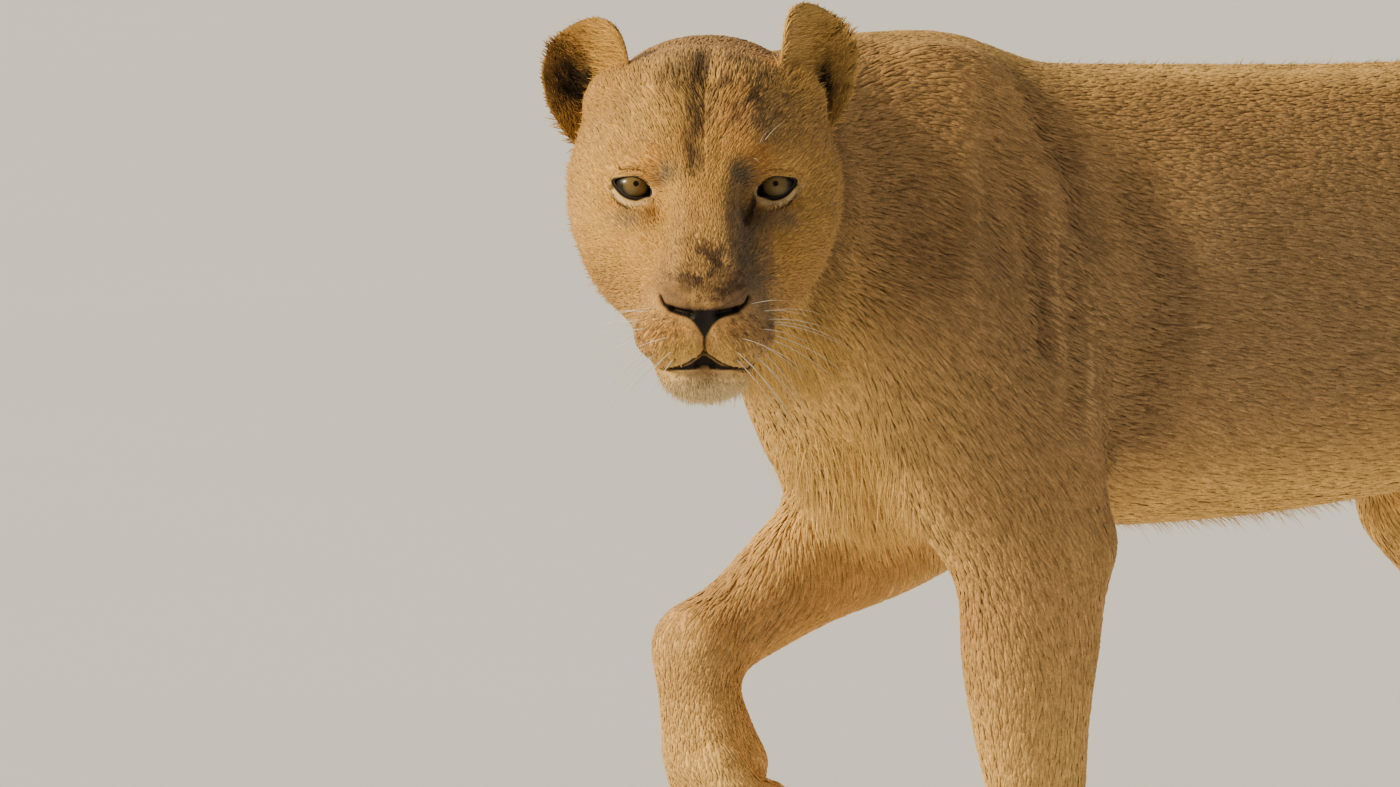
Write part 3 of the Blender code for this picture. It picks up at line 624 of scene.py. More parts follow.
def relax(points, edges, rounds, share=0.5):
    # each point moves towards the middle of its neighbours
    count = np.maximum(np.bincount(edges.ravel(), minlength=len(points)), 1)[:, None]
    for _ in range(rounds):
        total = np.empty_like(points)
        for axis in range(3):
            total[:, axis] = np.bincount(edges[:, 0], points[edges[:, 1], axis], len(points))
            total[:, axis] += np.bincount(edges[:, 1], points[edges[:, 0], axis], len(points))
        points = points + share * (total / count - points)
    return points


def cloud(points, size, seed=0):
    # smooth noise from -1 to 1, with lumps of the given size
    place = points / size + seed * 17.31
    cell = np.floor(place).astype(np.int64)
    part = place - cell
    part = part * part * (3 - 2 * part)
    total = np.zeros(len(points))
    for corner in np.ndindex(2, 2, 2):
        x, y, z = (cell + corner).T
        value = (x * 73856093) ^ (y * 19349663) ^ (z * 83492791) ^ (seed * 2654435)
        value = ((value & 0xFFFFFF) * 1103515245 + 12345) & 0x7FFFFFFF
        value = (value ^ (value >> 13)) * 1274126177 & 0x7FFFFFFF
        weight = np.prod(np.where(np.array(corner) == 1, part, 1 - part), axis=1)
        total += weight * (value / 0x3FFFFFFF - 1)
    return total


# lines drawn on her: folds, lips, creases and stripes
def curveThrough(places, gap):
    # evenly spaced points on a smooth curve
    places = np.array(places, float)
    padded = np.vstack((2 * places[0] - places[1], places, 2 * places[-1] - places[-2]))
    curve = []
    for i in range(len(places) - 1):
        curve += [splinePoint(*padded[i : i + 4], t) for t in np.linspace(0, 1, 24, endpoint=False)]
    curve = np.array([*curve, places[-1]])
    walked = np.concatenate(([0], np.cumsum(np.linalg.norm(np.diff(curve, axis=0), axis=1))))
    stops = np.linspace(0, walked[-1], max(int(walked[-1] / gap), 1) + 1)
    return np.stack([np.interp(stops, walked, curve[:, axis]) for axis in range(curve.shape[1])], axis=1)


def distanceTo(line, points):
    # from each point to the nearest point of a line, or far off where it isn't near
    reach = 0.06
    distance = np.full(len(points), 1.0)
    near = np.flatnonzero(((points > line.min(0) - reach) & (points < line.max(0) + reach)).all(1))
    for start in range(0, len(near), 20000):
        part = near[start : start + 20000]
        apart = ((points[part, None, :] - line[None, :, :]) ** 2).sum(2)
        distance[part] = np.sqrt(apart.min(1))
    return distance


# (half width, height, line in the head's frame), on both sides where it leaves the middle
faceLines = {
    "mouth": (0.0024, -0.0040, [
        (0.012, 0.060, -0.130), (0.035, 0.0545, -0.1395), (0.055, 0.0465, -0.1480), (0.068, 0.0380, -0.1540),
        (0.080, 0.0270, -0.1550), (0.088, 0.0150, -0.1515), (0.094, 0.0065, -0.1465), (0.096, 0, -0.1428),
    ]),
    "philtrum": (0.0016, -0.0028, [(0.110, 0, -0.129), (0.105, 0, -0.136), (0.098, 0, -0.1430)]),
    "nostril": (0.0020, -0.0045, [
        (0.094, 0.0385, -0.0930), (0.100, 0.0352, -0.1000), (0.106, 0.0290, -0.1045),
    ]),
    "nostrilHole": (0.0036, -0.0065, [
        (0.106, 0.0285, -0.1050), (0.111, 0.0210, -0.1072), (0.114, 0.0130, -0.1085),
    ]),
    "nostrilRim": (0.0038, 0.0016, [
        (0.096, 0.036, -0.0880), (0.106, 0.027, -0.0960), (0.112, 0.016, -0.1000),
    ]),
    "tear": (0.0034, -0.0018, [
        (-0.002, 0.0445, -0.0020), (0.004, 0.0420, -0.0110), (0.008, 0.0385, -0.0230),
        (0.012, 0.0362, -0.0330),
    ]),
    "tearRight": (0.0018, -0.0012, [
        (-0.002, -0.0455, -0.0100), (0.004, -0.0420, -0.0130), (0.008, -0.0390, -0.0190),
    ]),
    "stripe": (0.0045, -0.0006, [
        (0.008, -0.0076, 0.010), (-0.006, -0.0085, 0.040), (-0.030, -0.0045, 0.070),
        (-0.075, -0.0010, 0.110),
    ]),
    "upperFold": (0.0016, -0.0018, [
        (-0.006, 0.0730, 0.0128), (-0.003, 0.067, 0.0143), (0.000, 0.055, 0.0140), (0.003, 0.046, 0.0080),
    ]),
    "lowerFold": (0.0020, -0.0022, [
        (-0.012, 0.0800, 0.0000), (-0.008, 0.0778, -0.0065), (-0.004, 0.0712, -0.0142),
        (0.000, 0.0635, -0.0180), (0.003, 0.0555, -0.0200),
    ]),
    "bridgeEdge": (0.0070, 0.0016, [(0.030, 0.016, -0.020), (0.060, 0.019, -0.050), (0.085, 0.025, -0.078)]),
    "frown": (0.0035, -0.0014, [(0.018, 0.010, 0.010), (0.006, 0.012, 0.028), (-0.010, 0.016, 0.050)]),
    "forehead": (0.0045, -0.0016, [(-0.005, 0, 0.045), (-0.040, 0, 0.085), (-0.085, 0, 0.118)]),
    "behindPad": (0.0045, -0.0014, [(0.078, 0.044, -0.094), (0.056, 0.056, -0.112), (0.030, 0.062, -0.130)]),
    "lowerLip": (0.0040, 0.0016, [(0.060, 0.036, -0.164), (0.078, 0.018, -0.163), (0.084, 0, -0.160)]),
}
# (place in the head's frame, radii, height), on both sides
faceSwells = [
    ((0.00, 0.042, 0.031), (0.04, 0.021, 0.013), 0.0045),  # brow over the eye
    ((0.00, 0.070, 0.024), (0.04, 0.012, 0.008), 0.0018),
    ((0.00, 0.033, -0.010), (0.04, 0.009, 0.020), -0.0035),  # between the eye and the bridge
    ((0.00, 0.060, -0.034), (0.05, 0.020, 0.010), 0.0022),  # under the eye
    ((0.02, 0.036, -0.055), (0.05, 0.010, 0.026), -0.0026),  # beside the bridge
    ((0.08, 0.029, -0.128), (0.05, 0.016, 0.016), 0.0022),  # whisker pad
    ((0.02, 0.060, -0.098), (0.05, 0.012, 0.016), -0.0028),  # behind the pad
]
# (half width, height, line in her own measures), on both sides where it leaves the middle
bodyLines = {
    "shoulderFront": (0.011, -0.0060, [(-0.352, -0.13, 0.79), (-0.342, -0.14, 0.72), (-0.338, -0.14, 0.655)]),
    "upperArm": (0.011, -0.0045, [(-0.305, -0.14, 0.735), (-0.300, -0.15, 0.66), (-0.310, -0.14, 0.59)]),
    "bladeSpine": (0.018, 0.0040, [(-0.385, 0.08, 0.87), (-0.400, 0.14, 0.78), (-0.420, 0.15, 0.70)]),
    "bladeEdge": (0.016, -0.0065, [(-0.330, 0.06, 0.885), (-0.300, 0.12, 0.83), (-0.290, 0.14, 0.76)]),
    "behindArm": (0.024, -0.0050, [
        (-0.235, 0.15, 0.80), (-0.215, 0.16, 0.70), (-0.235, 0.15, 0.58), (-0.27, 0.14, 0.50),
    ]),
    "flankFold": (0.018, 0.0050, [(0.150, 0.14, 0.515), (0.200, 0.16, 0.575), (0.240, 0.15, 0.65)]),
    "haunchFront": (0.022, -0.0040, [(0.230, 0.14, 0.83), (0.215, 0.15, 0.75), (0.235, 0.15, 0.68)]),
    "hamstring": (0.016, -0.0040, [(0.440, 0.12, 0.74), (0.400, 0.13, 0.62), (0.375, 0.12, 0.52)]),
    "spine": (0.014, 0.0030, [(-0.24, 0, 0.89), (0.05, 0, 0.885), (0.36, 0, 0.89)]),
    "neckFold": (0.018, -0.0065, [(-0.560, -0.155, 0.87), (-0.565, -0.180, 0.79), (-0.560, -0.170, 0.70)]),
}
# lines that lie on one side only
oneSided = ("neckFold", "stripe", "tear", "tearRight", "shoulderFront", "upperArm")


def sidesOf(lines, convert):
    # every line as points in her own measures, with its mirror image where it leaves the middle
    drawn = {}
    for name, (wide, high, places) in lines.items():
        aside = max(abs(place[1]) for place in places)
        for side in (1, -1) if aside > 0 and name not in oneSided else (1,):
            key = name if side == 1 else name + "Mirrored"
            drawn[key] = (np.array([convert(*flipped(place, side)) for place in places]), wide, high)
    return drawn


def drawnOn(lines, tree, fromFront=False):
    # lays each line on the skin, straight back from the front or by the shortest way
    laid = {}
    for name, (places, wide, high) in lines.items():
        curve = curveThrough(places, max(wide * 0.5, 0.001))
        found = []
        for point in curve:
            hit = tree.ray_cast(Vector(point + ahead * 0.05), Vector(-ahead))[:2] if fromFront else (None,)
            near = hit[0] is not None and (hit[0] - Vector(point)).length < 0.030
            found.append(hit if near else tree.find_nearest(Vector(point))[:2])
        places, outward = (np.array(part) for part in zip(*found))
        laid[name] = (places, outward, wide, high)
    return laid


# outlines on the face, as (left, up) seen from straight ahead
eyeOutline = [(0.0766, 0.0058), (0.0710, 0.0080), (0.0630, 0.0088), (0.0550, 0.0080), (0.0494, 0.0042),
              (0.0458, -0.0024), (0.0466, -0.0072), (0.0530, -0.0086), (0.0610, -0.0085), (0.0680, -0.0056),
              (0.0733, -0.0003)]
noseHalf = [(0.0110, -0.0985), (0.0200, -0.0900), (0.0300, -0.0875), (0.0378, -0.0900), (0.0385, -0.0960),
            (0.0330, -0.1040), (0.0255, -0.1092), (0.0150, -0.1128), (0.0080, -0.1188), (0.0030, -0.1270)]
mouthHalf = [(0.0068, -0.1468), (0.0150, -0.1518), (0.0290, -0.1550), (0.0150, -0.1558)]


def mirrored(half, top, bottom):
    # an outline from the middle's top down her left side and up her right
    return [top, *half, bottom, *((-left, up) for left, up in reversed(half))]


def closedCurve(outline, steps=5):
    # a smooth ring through the points of an outline
    ring, count = np.array(outline), len(outline)
    curve = []
    for i in range(count):
        four = [ring[(i + k) % count] for k in (-1, 0, 1, 2)]
        curve += [splinePoint(*four, t) for t in np.arange(steps) / steps]
    return np.array(curve)


def outsideOf(outline, places):
    # distance of each (left, up) place from an outline, below 0 inside it
    starts, ends = outline, np.roll(outline, -1, axis=0)
    nearest, inside = np.full(len(places), 1.0), np.zeros(len(places), bool)
    for (x0, y0), (x1, y1) in zip(starts, ends):
        edge = np.array((x1 - x0, y1 - y0))
        offset = places - (x0, y0)
        t = held(offset @ edge / max(edge @ edge, 1e-12))
        nearest = np.minimum(nearest, np.linalg.norm(offset - t[:, None] * edge, axis=1))
        crosses = (y0 > places[:, 1]) != (y1 > places[:, 1])
        rise = (y1 - y0) if y1 != y0 else 1e-12
        inside ^= crosses & (places[:, 0] < (x1 - x0) * (places[:, 1] - y0) / rise + x0)
    return np.where(inside, -nearest, nearest)


eyeRing = closedCurve(eyeOutline)
noseRing = closedCurve(mirrored(noseHalf, (0, -0.1030), (0, -0.1310)))
mouthRing = closedCurve(mirrored(mouthHalf, (0, -0.1425), (0, -0.1548)))


def eyeGap(points):
    # distance from the edge of the nearer eye's opening, below 0 inside it
    place = inHead(points)
    gap = outsideOf(eyeRing, np.stack((np.abs(place[:, 1]), place[:, 2]), axis=1))
    return np.where(place[:, 0] > -0.045, gap, 1.0)


def noseGap(points):
    place = inHead(points)
    return np.where(place[:, 0] > 0.075, outsideOf(noseRing, place[:, 1:]), 1.0)


def mouthGap(points):
    place = inHead(points)
    return np.where(place[:, 0] > 0.045, outsideOf(mouthRing, place[:, 1:]), 1.0)


# skin
skinSet = {
    "voxel": 0.0062,  # grid of the body
    "swell": 0.0004,  # closes the saw cuts between the solids
    "smooth": (4, 2, 1),  # rounds of smoothing before each settling
    "headReach": 0.160,  # round the face the grid is halved
    "faceReach": (0.014, 0.007),  # and twice more this far round the eyes, the nose and the mouth
    "mouthDeep": 0.0035,  # how far the parted lips are pressed in
    "lidSlope": 0.0012,  # width of the edge of a lid
    "lidBehind": 0.0022,  # how far the open lid lies behind the eyeball's front
}


def shellOfSolids():
    whole = bmesh.new()
    for name, node in sorted(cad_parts.items()):
        if name.endswith(("_eye", "_ear")):
            continue
        copy = node.data.copy()
        swollen = pointsOf(copy) + normalsOf(copy) * skinSet["swell"] - shift
        copy.vertices.foreach_set("co", swollen.ravel())
        whole.from_mesh(copy)
        bpy.data.meshes.remove(copy)
    mesh = bpy.data.meshes.new("shell")
    whole.to_mesh(mesh)
    whole.free()
    rough = placeIn("shell", mesh)
    fuse = rough.modifiers.new("fuse", "REMESH")
    fuse.mode = "VOXEL"
    fuse.voxel_size = skinSet["voxel"]
    graph = bpy.context.evaluated_depsgraph_get()
    fused = bpy.data.meshes.new_from_object(rough.evaluated_get(graph))
    bpy.data.objects.remove(rough)
    return fused


def refined(mesh, chosen):
    # halves the grid where chosen says so
    grid = bmesh.new()
    grid.from_mesh(mesh)
    grid.verts.ensure_lookup_table()
    edges = [e for e in grid.edges if chosen[e.verts[0].index] and chosen[e.verts[1].index]]
    bmesh.ops.subdivide_edges(grid, edges=edges, cuts=1, use_grid_fill=True)
    bmesh.ops.triangulate(grid, faces=[f for f in grid.faces if len(f.verts) > 4])
    grid.to_mesh(mesh)
    grid.free()


def makeSkin():
    mesh = shellOfSolids()
    edges = edgesOf(mesh)
    points = pointsOf(mesh)
    for rounds in skinSet["smooth"]:
        points = settle(relax(points, edges, rounds), 0.012)
    mesh.vertices.foreach_set("co", points.ravel())
    place = inHead(points)
    refined(mesh, np.linalg.norm(place - (0.0, 0, -0.045), axis=1) < skinSet["headReach"])
    edges, points = edgesOf(mesh), pointsOf(mesh)
    points = settle(settle(relax(points, edges, 1), 0.004), 0.004)
    lips = [[onHead(*flipped(place, side)) for place in faceLines["mouth"][2]] for side in (-1, 1)]
    lipLine = np.vstack([curveThrough(lip, 0.002) for lip in lips])
    for reach in skinSet["faceReach"]:
        close = (np.abs(eyeGap(points)) < reach) | (noseGap(points) < reach * 0.7)
        close |= distanceTo(lipLine, points) < reach
        mesh.vertices.foreach_set("co", points.ravel())
        refined(mesh, (inHead(points)[:, 0] > -0.03) & close)
        edges, points = edgesOf(mesh), pointsOf(mesh)
        points = settle(points, 0.002)
    points = settle(relax(points, edges, 1, 0.3), 0.002)
    mesh.vertices.foreach_set("co", points.ravel())
    mesh.update()
    return mesh


def openLids(points):
    # inside the eye's opening the skin goes back behind the eyeball's front
    place, gap = inHead(points), eyeGap(points)
    aside = np.hypot(np.abs(place[:, 1]) - headSet["eyeApart"], place[:, 2])
    ball = np.sqrt(np.maximum(headSet["eyeRadius"] ** 2 - aside**2, 0)) - headSet["eyeDepth"]
    opened = held(-gap / skinSet["lidSlope"])
    press = np.where(gap < 0, np.maximum(place[:, 0] - (ball - skinSet["lidBehind"]), 0) * opened, 0)
    return points - ahead * press[:, None]


def drawRelief(mesh, tree):
    # folds, lips, nostrils and lids, pressed into the skin or raised from it
    points, normals = pointsOf(mesh), normalsOf(mesh)
    laid = drawnOn(sidesOf(faceLines, onHead), tree, fromFront=True)
    laid.update(drawnOn(sidesOf(bodyLines, lambda x, y, z: (x, y, z)), tree))
    lift = np.zeros(len(points))
    for places, _, wide, high in laid.values():
        lift += high * np.exp(-((distanceTo(places, points) / wide) ** 2))
    for place, radii, high in bothSides(faceSwells):
        lift += high * bump(inHead(points), place, worldAxes, radii)
    lift -= skinSet["mouthDeep"] * held(-mouthGap(points) / 0.0030)
    points = openLids(points + normals * lift[:, None])
    mesh.vertices.foreach_set("co", points.ravel())
    mesh.update()
    return {name: places + outward * high for name, (places, outward, _, high) in laid.items()}


# colours, as red, green and blue from 0 to 255
def paintOf(red, green, blue):
    value = np.array((red, green, blue)) / 255
    return np.where(value <= 0.04045, value / 12.92, ((value + 0.055) / 1.055) ** 2.4)


tones = {
    "tan": paintOf(190, 147, 92),
    # tan greyed for the flank: partly the fur's own tone, partly painted shade
    "flank": paintOf(162, 129, 88),
    "cream": paintOf(216, 170, 90),
    "straw": paintOf(246, 198, 116),
    "chin": paintOf(230, 200, 146),
    "gold": paintOf(200, 149, 74),
    "amber": paintOf(186, 124, 54),
    "grey": paintOf(122, 104, 82),
    "rust": paintOf(166, 112, 66),
    "bark": paintOf(72, 54, 40),
    "black": paintOf(26, 19, 15),
    "wing": paintOf(116, 88, 64),
    "nose": paintOf(20, 13, 8),
    "lip": paintOf(30, 21, 18),
}

# (place in the head's frame, radii, tone, strength): on both sides, then on one side only
facePatches = {
    "both": [
        ((0.02, 0.070, -0.055), (0.06, 0.032, 0.042), "gold", 0.50),
        ((-0.02, 0.095, -0.015), (0.06, 0.030, 0.050), "cream", 0.35),
        ((0.00, 0.0, 0.085), (0.08, 0.060, 0.035), "cream", 0.45),
        ((0.02, 0.022, -0.020), (0.03, 0.018, 0.030), "cream", 0.30),
        ((0.00, 0.043, 0.022), (0.03, 0.010, 0.012), "amber", 0.60),
        ((0.02, 0.029, 0.009), (0.03, 0.009, 0.009), "grey", 0.60),
        ((0.00, 0.061, -0.031), (0.03, 0.015, 0.010), "grey", 0.55),
        ((0.00, 0.0755, -0.0165), (0.03, 0.006, 0.006), "amber", 0.35),
        ((0.09, 0.0, -0.084), (0.05, 0.028, 0.020), "bark", 0.42),
        ((0.09, 0.028, -0.086), (0.03, 0.012, 0.010), "wing", 0.70),
        ((0.08, 0.024, -0.120), (0.04, 0.020, 0.009), "amber", 0.45),
        ((0.08, 0.021, -0.140), (0.04, 0.019, 0.013), "cream", 0.80),
        ((0.07, 0.042, -0.128), (0.04, 0.016, 0.016), "amber", 0.20),
        ((0.06, 0.0, -0.176), (0.06, 0.050, 0.015), "chin", 0.90),
        ((0.00, 0.055, -0.150), (0.06, 0.030, 0.030), "cream", 0.60),
        ((0.08, 0.006, -0.161), (0.03, 0.009, 0.004), "bark", 0.35),
        ((-0.10, 0.075, 0.075), (0.04, 0.030, 0.030), "gold", 0.50),
    ],
    "left": [
        ((0.02, 0.030, 0.006), (0.03, 0.010, 0.012), "grey", 0.50),
        ((0.02, 0.042, -0.033), (0.03, 0.014, 0.016), "grey", 0.45),
        ((-0.02, 0.045, 0.047), (0.05, 0.014, 0.016), "grey", 0.45),
        # painted shade down the side of the bridge, over grey-brown fur there
        ((0.03, 0.026, -0.055), (0.03, 0.011, 0.036), "grey", 0.75),
        ((-0.01, 0.033, 0.033), (0.03, 0.015, 0.010), "amber", 0.55),
        # painted shade along the bridge and beside the nose, over grey-brown fur there
        ((0.05, 0.032, -0.060), (0.06, 0.018, 0.055), "grey", 0.70),
        ((0.06, 0.046, -0.100), (0.06, 0.020, 0.034), "grey", 0.50),
        # painted shade: her left side of the nose top is darkened as the side in shade
        ((0.10, 0.017, -0.091), (0.04, 0.018, 0.015), "bark", 0.65),
        # painted shade: her left cheek is darkened as the side in shade
        ((-0.02, 0.075, -0.050), (0.08, 0.045, 0.060), "bark", 0.14),
        ((-0.03, 0.024, 0.062), (0.06, 0.018, 0.022), "rust", 0.50),
    ],
    "right": [
        ((-0.02, 0.047, 0.052), (0.05, 0.020, 0.016), "cream", 0.40),
        ((-0.01, 0.049, 0.022), (0.03, 0.004, 0.010), "cream", 0.50),
        ((-0.04, 0.022, 0.085), (0.06, 0.016, 0.022), "bark", 0.45),
    ],
}
# (line, half width, tone, strength): dark colour that follows a drawn line. The first five are painted shade
# in the folds of the shoulder, arm and neck; the rest are dark markings of the face
markingsAndFoldShade = [
    # painted shade, darker in the folds where shade falls
    ("bladeEdge", 0.020, "bark", 0.30),
    ("shoulderFront", 0.014, "bark", 0.28),
    ("upperArm", 0.012, "bark", 0.20),
    ("behindArm", 0.026, "bark", 0.22),
    ("neckFold", 0.026, "bark", 0.42),
    ("mouth", 0.0040, "lip", 1.0),
    ("philtrum", 0.0018, "lip", 0.9),
    ("nostril", 0.0026, "lip", 1.0),
    ("nostrilHole", 0.0044, "lip", 1.0),
    # a real dark tear mark, widened and darkened on her left as painted shade beside the eye
    ("tear", 0.0040, "bark", 0.90),
    ("tearRight", 0.0016, "bark", 0.60),
    ("lowerFold", 0.0016, "bark", 0.90),
    ("upperFold", 0.0013, "bark", 0.60),
    ("stripe", 0.0078, "bark", 0.70),
]
# (place, radii, tone, strength) on the body, on both sides where it leaves the middle
bodyPatches = [
    # painted light: the top of the back made pale, as if lit from above
    ((0.0, 0.0, 0.89), (0.60, 0.065, 0.050), "straw", 0.70),
    # the flank greyed: partly the fur's own tone, partly painted shade of the side away from the light
    ((-0.10, 0.14, 0.68), (0.40, 0.080, 0.150), "flank", 0.70),
    ((-0.47, -0.02, 0.60), (0.09, 0.110, 0.100), "straw", 0.95),
    ((-0.50, -0.03, 0.57), (0.07, 0.090, 0.080), "cream", 0.35),
    # painted shade on the side of the neck under the head and behind the shoulder
    ((-0.50, 0.17, 0.79), (0.10, 0.080, 0.120), "bark", 0.24),
    ((-0.38, 0.16, 0.72), (0.10, 0.080, 0.130), "bark", 0.16),
    ((-0.40, 0.0, 0.500), (0.12, 0.100, 0.060), "straw", 0.75),
    ((0.00, 0.0, 0.480), (0.40, 0.120, 0.060), "straw", 0.95),
    ((0.20, 0.06, 0.520), (0.16, 0.060, 0.080), "straw", 0.50),
    ((-0.64, -0.16, 0.69), (0.10, 0.120, 0.080), "cream", 0.60),
    # painted shade in rust-brown on the inner side of the raised foreleg's wrist
    ((-0.53, 0.085, 0.330), (0.06, 0.050, 0.060), "rust", 0.45),
    ((-0.40, 0.085, 0.420), (0.10, 0.050, 0.050), "rust", 0.35),
    ((0.36, 0.0, 0.600), (0.10, 0.060, 0.120), "straw", 0.55),
    ((0.52, 0.0, 0.700), (0.05, 0.060, 0.090), "straw", 0.40),
]

fleckSet = {
    "brow": 0.70,  # how dark the flecked forehead is
    "nose": 1.2,  # and the top of the nose
    "nosePlace": (0.08, 0, -0.074),
    "noseRadii": (0.06, 0.030, 0.024),
    "size": 0.0085,
}
whiskerSet = {
    "inRow": (3, 5, 5, 4),  # from the top row down
    "first": (0.094, 0.024, -0.114),  # in the head's frame
    "nextInRow": (-0.011, 0.0075, 0.002),
    "rowDown": 0.0095,
    "long": (0.045, 0.090),
    "thick": 0.00040,
    "overEye": 0.026,  # length of the hairs over the eye
    "spot": 0.0024,  # size of the dark spot at each root
    "spotTone": {1: 0.9, -1: 0.7},  # darker on her left
}


def whiskerSpots():
    # where the whiskers stand, as (side, row, number in the row, place in the head's frame)
    first, step = whiskerSet["first"], whiskerSet["nextInRow"]
    for side in (-1, 1):
        for line, count in enumerate(whiskerSet["inRow"]):
            for k in range(count):
                up = first[2] - whiskerSet["rowDown"] * line + step[2] * k
                yield side, line, k, (first[0] + step[0] * k, side * (first[1] + step[1] * k), up)


def mixed(colours, tone, share):
    return colours + (tones[tone] - colours) * held(share)[:, None]


def toLine(points, laid, name):
    # distance to a drawn line or its mirror image, whichever is nearer
    drawn = [laid[key] for key in (name, name + "Mirrored") if key in laid]
    return np.minimum.reduce([distanceTo(line, points) for line in drawn])


def nearLine(points, laid, name, wide):
    # 1 on a drawn line and its mirror image, falling to 0 beside it
    return np.exp(-((toLine(points, laid, name) / wide) ** 4))


def bodyColours(points, normals, mottle):
    colours = np.tile(tones["tan"], (len(points), 1))
    for place, radii, tone, strength in bodyPatches:
        for side in (1, -1) if place[1] > 0 else (1,):
            share = 1.4 * bump(points, flipped(place, side), worldAxes, radii)
            colours = mixed(colours, tone, strength * share * (1 + 0.25 * mottle))
    under = held(-normals[:, 2] - 0.25) * (points[:, 0] > -0.60)
    colours = mixed(colours, "straw", 0.9 * under)
    colours = mixed(colours, "straw", 0.70 * held((0.46 - points[:, 2]) / 0.20))
    tuft = held((0.265 - points[:, 2]) / 0.03) * (points[:, 0] > 0.76)
    return mixed(colours, "black", 0.95 * tuft)


def faceColours(colours, points, place, speck, mottle):
    # the patches of her face, then the dark flecks on her forehead and nose
    onFace = held(1.6 - np.linalg.norm((place - (-0.02, 0, -0.02)) / (0.12, 0.12, 0.14), axis=1))
    colours = mixed(colours, "gold", 0.55 * onFace)
    for sides, patches in facePatches.items():
        for spot, radii, tone, strength in patches:
            for side in {"both": (1, -1), "left": (1,), "right": (-1,)}[sides] if spot[1] > 0 else (1,):
                share = 1.4 * bump(place, flipped(spot, side), worldAxes, radii)
                grain = 1 + (0.60 * speck if tone in ("grey", "rust", "bark") else 0.2 * mottle)
                colours = mixed(colours, tone, strength * share * grain)
    flecks = held(2.0 * cloud(points, fleckSet["size"], 11) + 1.6 * speck + 0.32)
    aside, up = place[:, 1], place[:, 2]
    brow = held((up - 0.030) / 0.04) * onFace * held((0.082 - np.abs(aside)) / 0.02)
    brow *= 1 + 0.35 * np.clip(aside / 0.02, -1, 1)  # darker on her left
    colours = mixed(colours, "bark", fleckSet["brow"] * brow * flecks)
    colours = mixed(colours, "grey", 0.16 * brow * held(0.5 + cloud(points, 0.018, 13)))
    noseTop = bump(place, fleckSet["nosePlace"], worldAxes, fleckSet["noseRadii"])
    return mixed(colours, "bark", fleckSet["nose"] * noseTop * flecks)


def eyeAndLipColours(colours, points, place):
    # a pale band under each eye, its dark rim, and the parted lips
    gap, rim = eyeGap(points), rimOf(place)
    band = np.exp(-(((gap - rim - 0.0026) / 0.0022) ** 2)) * held((0.004 - place[:, 2]) / 0.006)
    colours = mixed(colours, "chin", 0.9 * band * (gap > rim))
    colours = mixed(colours, "black", held((rim - gap) / 0.0008 + 0.5) * (np.abs(gap) < 0.02))
    return mixed(colours, "lip", held(0.5 - mouthGap(points) / 0.0010))


def leatherColours(colours, points, place, laid, mottle):
    # the bare nose, brown above and black below, with black nostrils
    wet = held(-noseGap(points) / 0.0040)
    dark = held((-0.1010 - place[:, 2] + 0.0012 * mottle) / 0.0045)
    colours = mixed(colours, "wing", 0.60 * wet)
    colours = mixed(colours, "nose", held(2 * wet) * dark)
    nostrils = [nearLine(points, laid, "nostril", 0.0028), nearLine(points, laid, "nostrilHole", 0.0046)]
    return mixed(colours, "lip", np.maximum(*nostrils))


def coatColours(points, normals, laid, bare=False):
    speck, mottle = cloud(points, 0.0035, 3), cloud(points, 0.030, 5)
    place = inHead(points)
    colours = bodyColours(points, normals, mottle)
    colours = faceColours(colours, points, place, speck, mottle)
    for name, wide, tone, strength in markingsAndFoldShade:
        ragged = 1 + (0.5 * speck if tone == "bark" else 0)
        colours = mixed(colours, tone, strength * ragged * nearLine(points, laid, name, wide))
    for side, _, _, spot in whiskerSpots():
        near = np.linalg.norm((place - spot)[:, 1:], axis=1) / whiskerSet["spot"]
        tone = whiskerSet["spotTone"][side]
        colours = mixed(colours, "bark", tone * np.exp(-(near**2)) * (place[:, 0] > 0.0))
    colours = eyeAndLipColours(colours, points, place)
    if bare:
        colours = leatherColours(colours, points, place, laid, mottle)
    return colours * (1 + 0.06 * mottle + 0.05 * speck)[:, None]


def rimOf(place):
    # how wide the dark rim of the eye is, widest at the lower outer side
    outer = held((0.8 * (np.abs(place[:, 1]) - 0.060) - place[:, 2]) / 0.010)
    least, more = eyeSet["darkRim"]
    return least + more * outer


bareLines = {"mouth": 0.0030, "philtrum": 0.0010, "nostril": 0.0024, "nostrilHole": 0.0040}  # half widths


def hairGap(points, laid):
    # how far each point is from the bare places: nose leather, lips, rims of the eyes and soles
    place = inHead(points)
    below = held((0.002 - place[:, 2]) / 0.006)
    gap = np.minimum(noseGap(points) + 0.0015, eyeGap(points) - rimOf(place) - 0.0028 * below)
    gap = np.minimum(gap, mouthGap(points) - 0.0008)
    for name, wide in bareLines.items():
        gap = np.minimum(gap, toLine(points, laid, name) - wide)
    return np.minimum(gap, points[:, 2] - standing["soles"] - 0.0015)


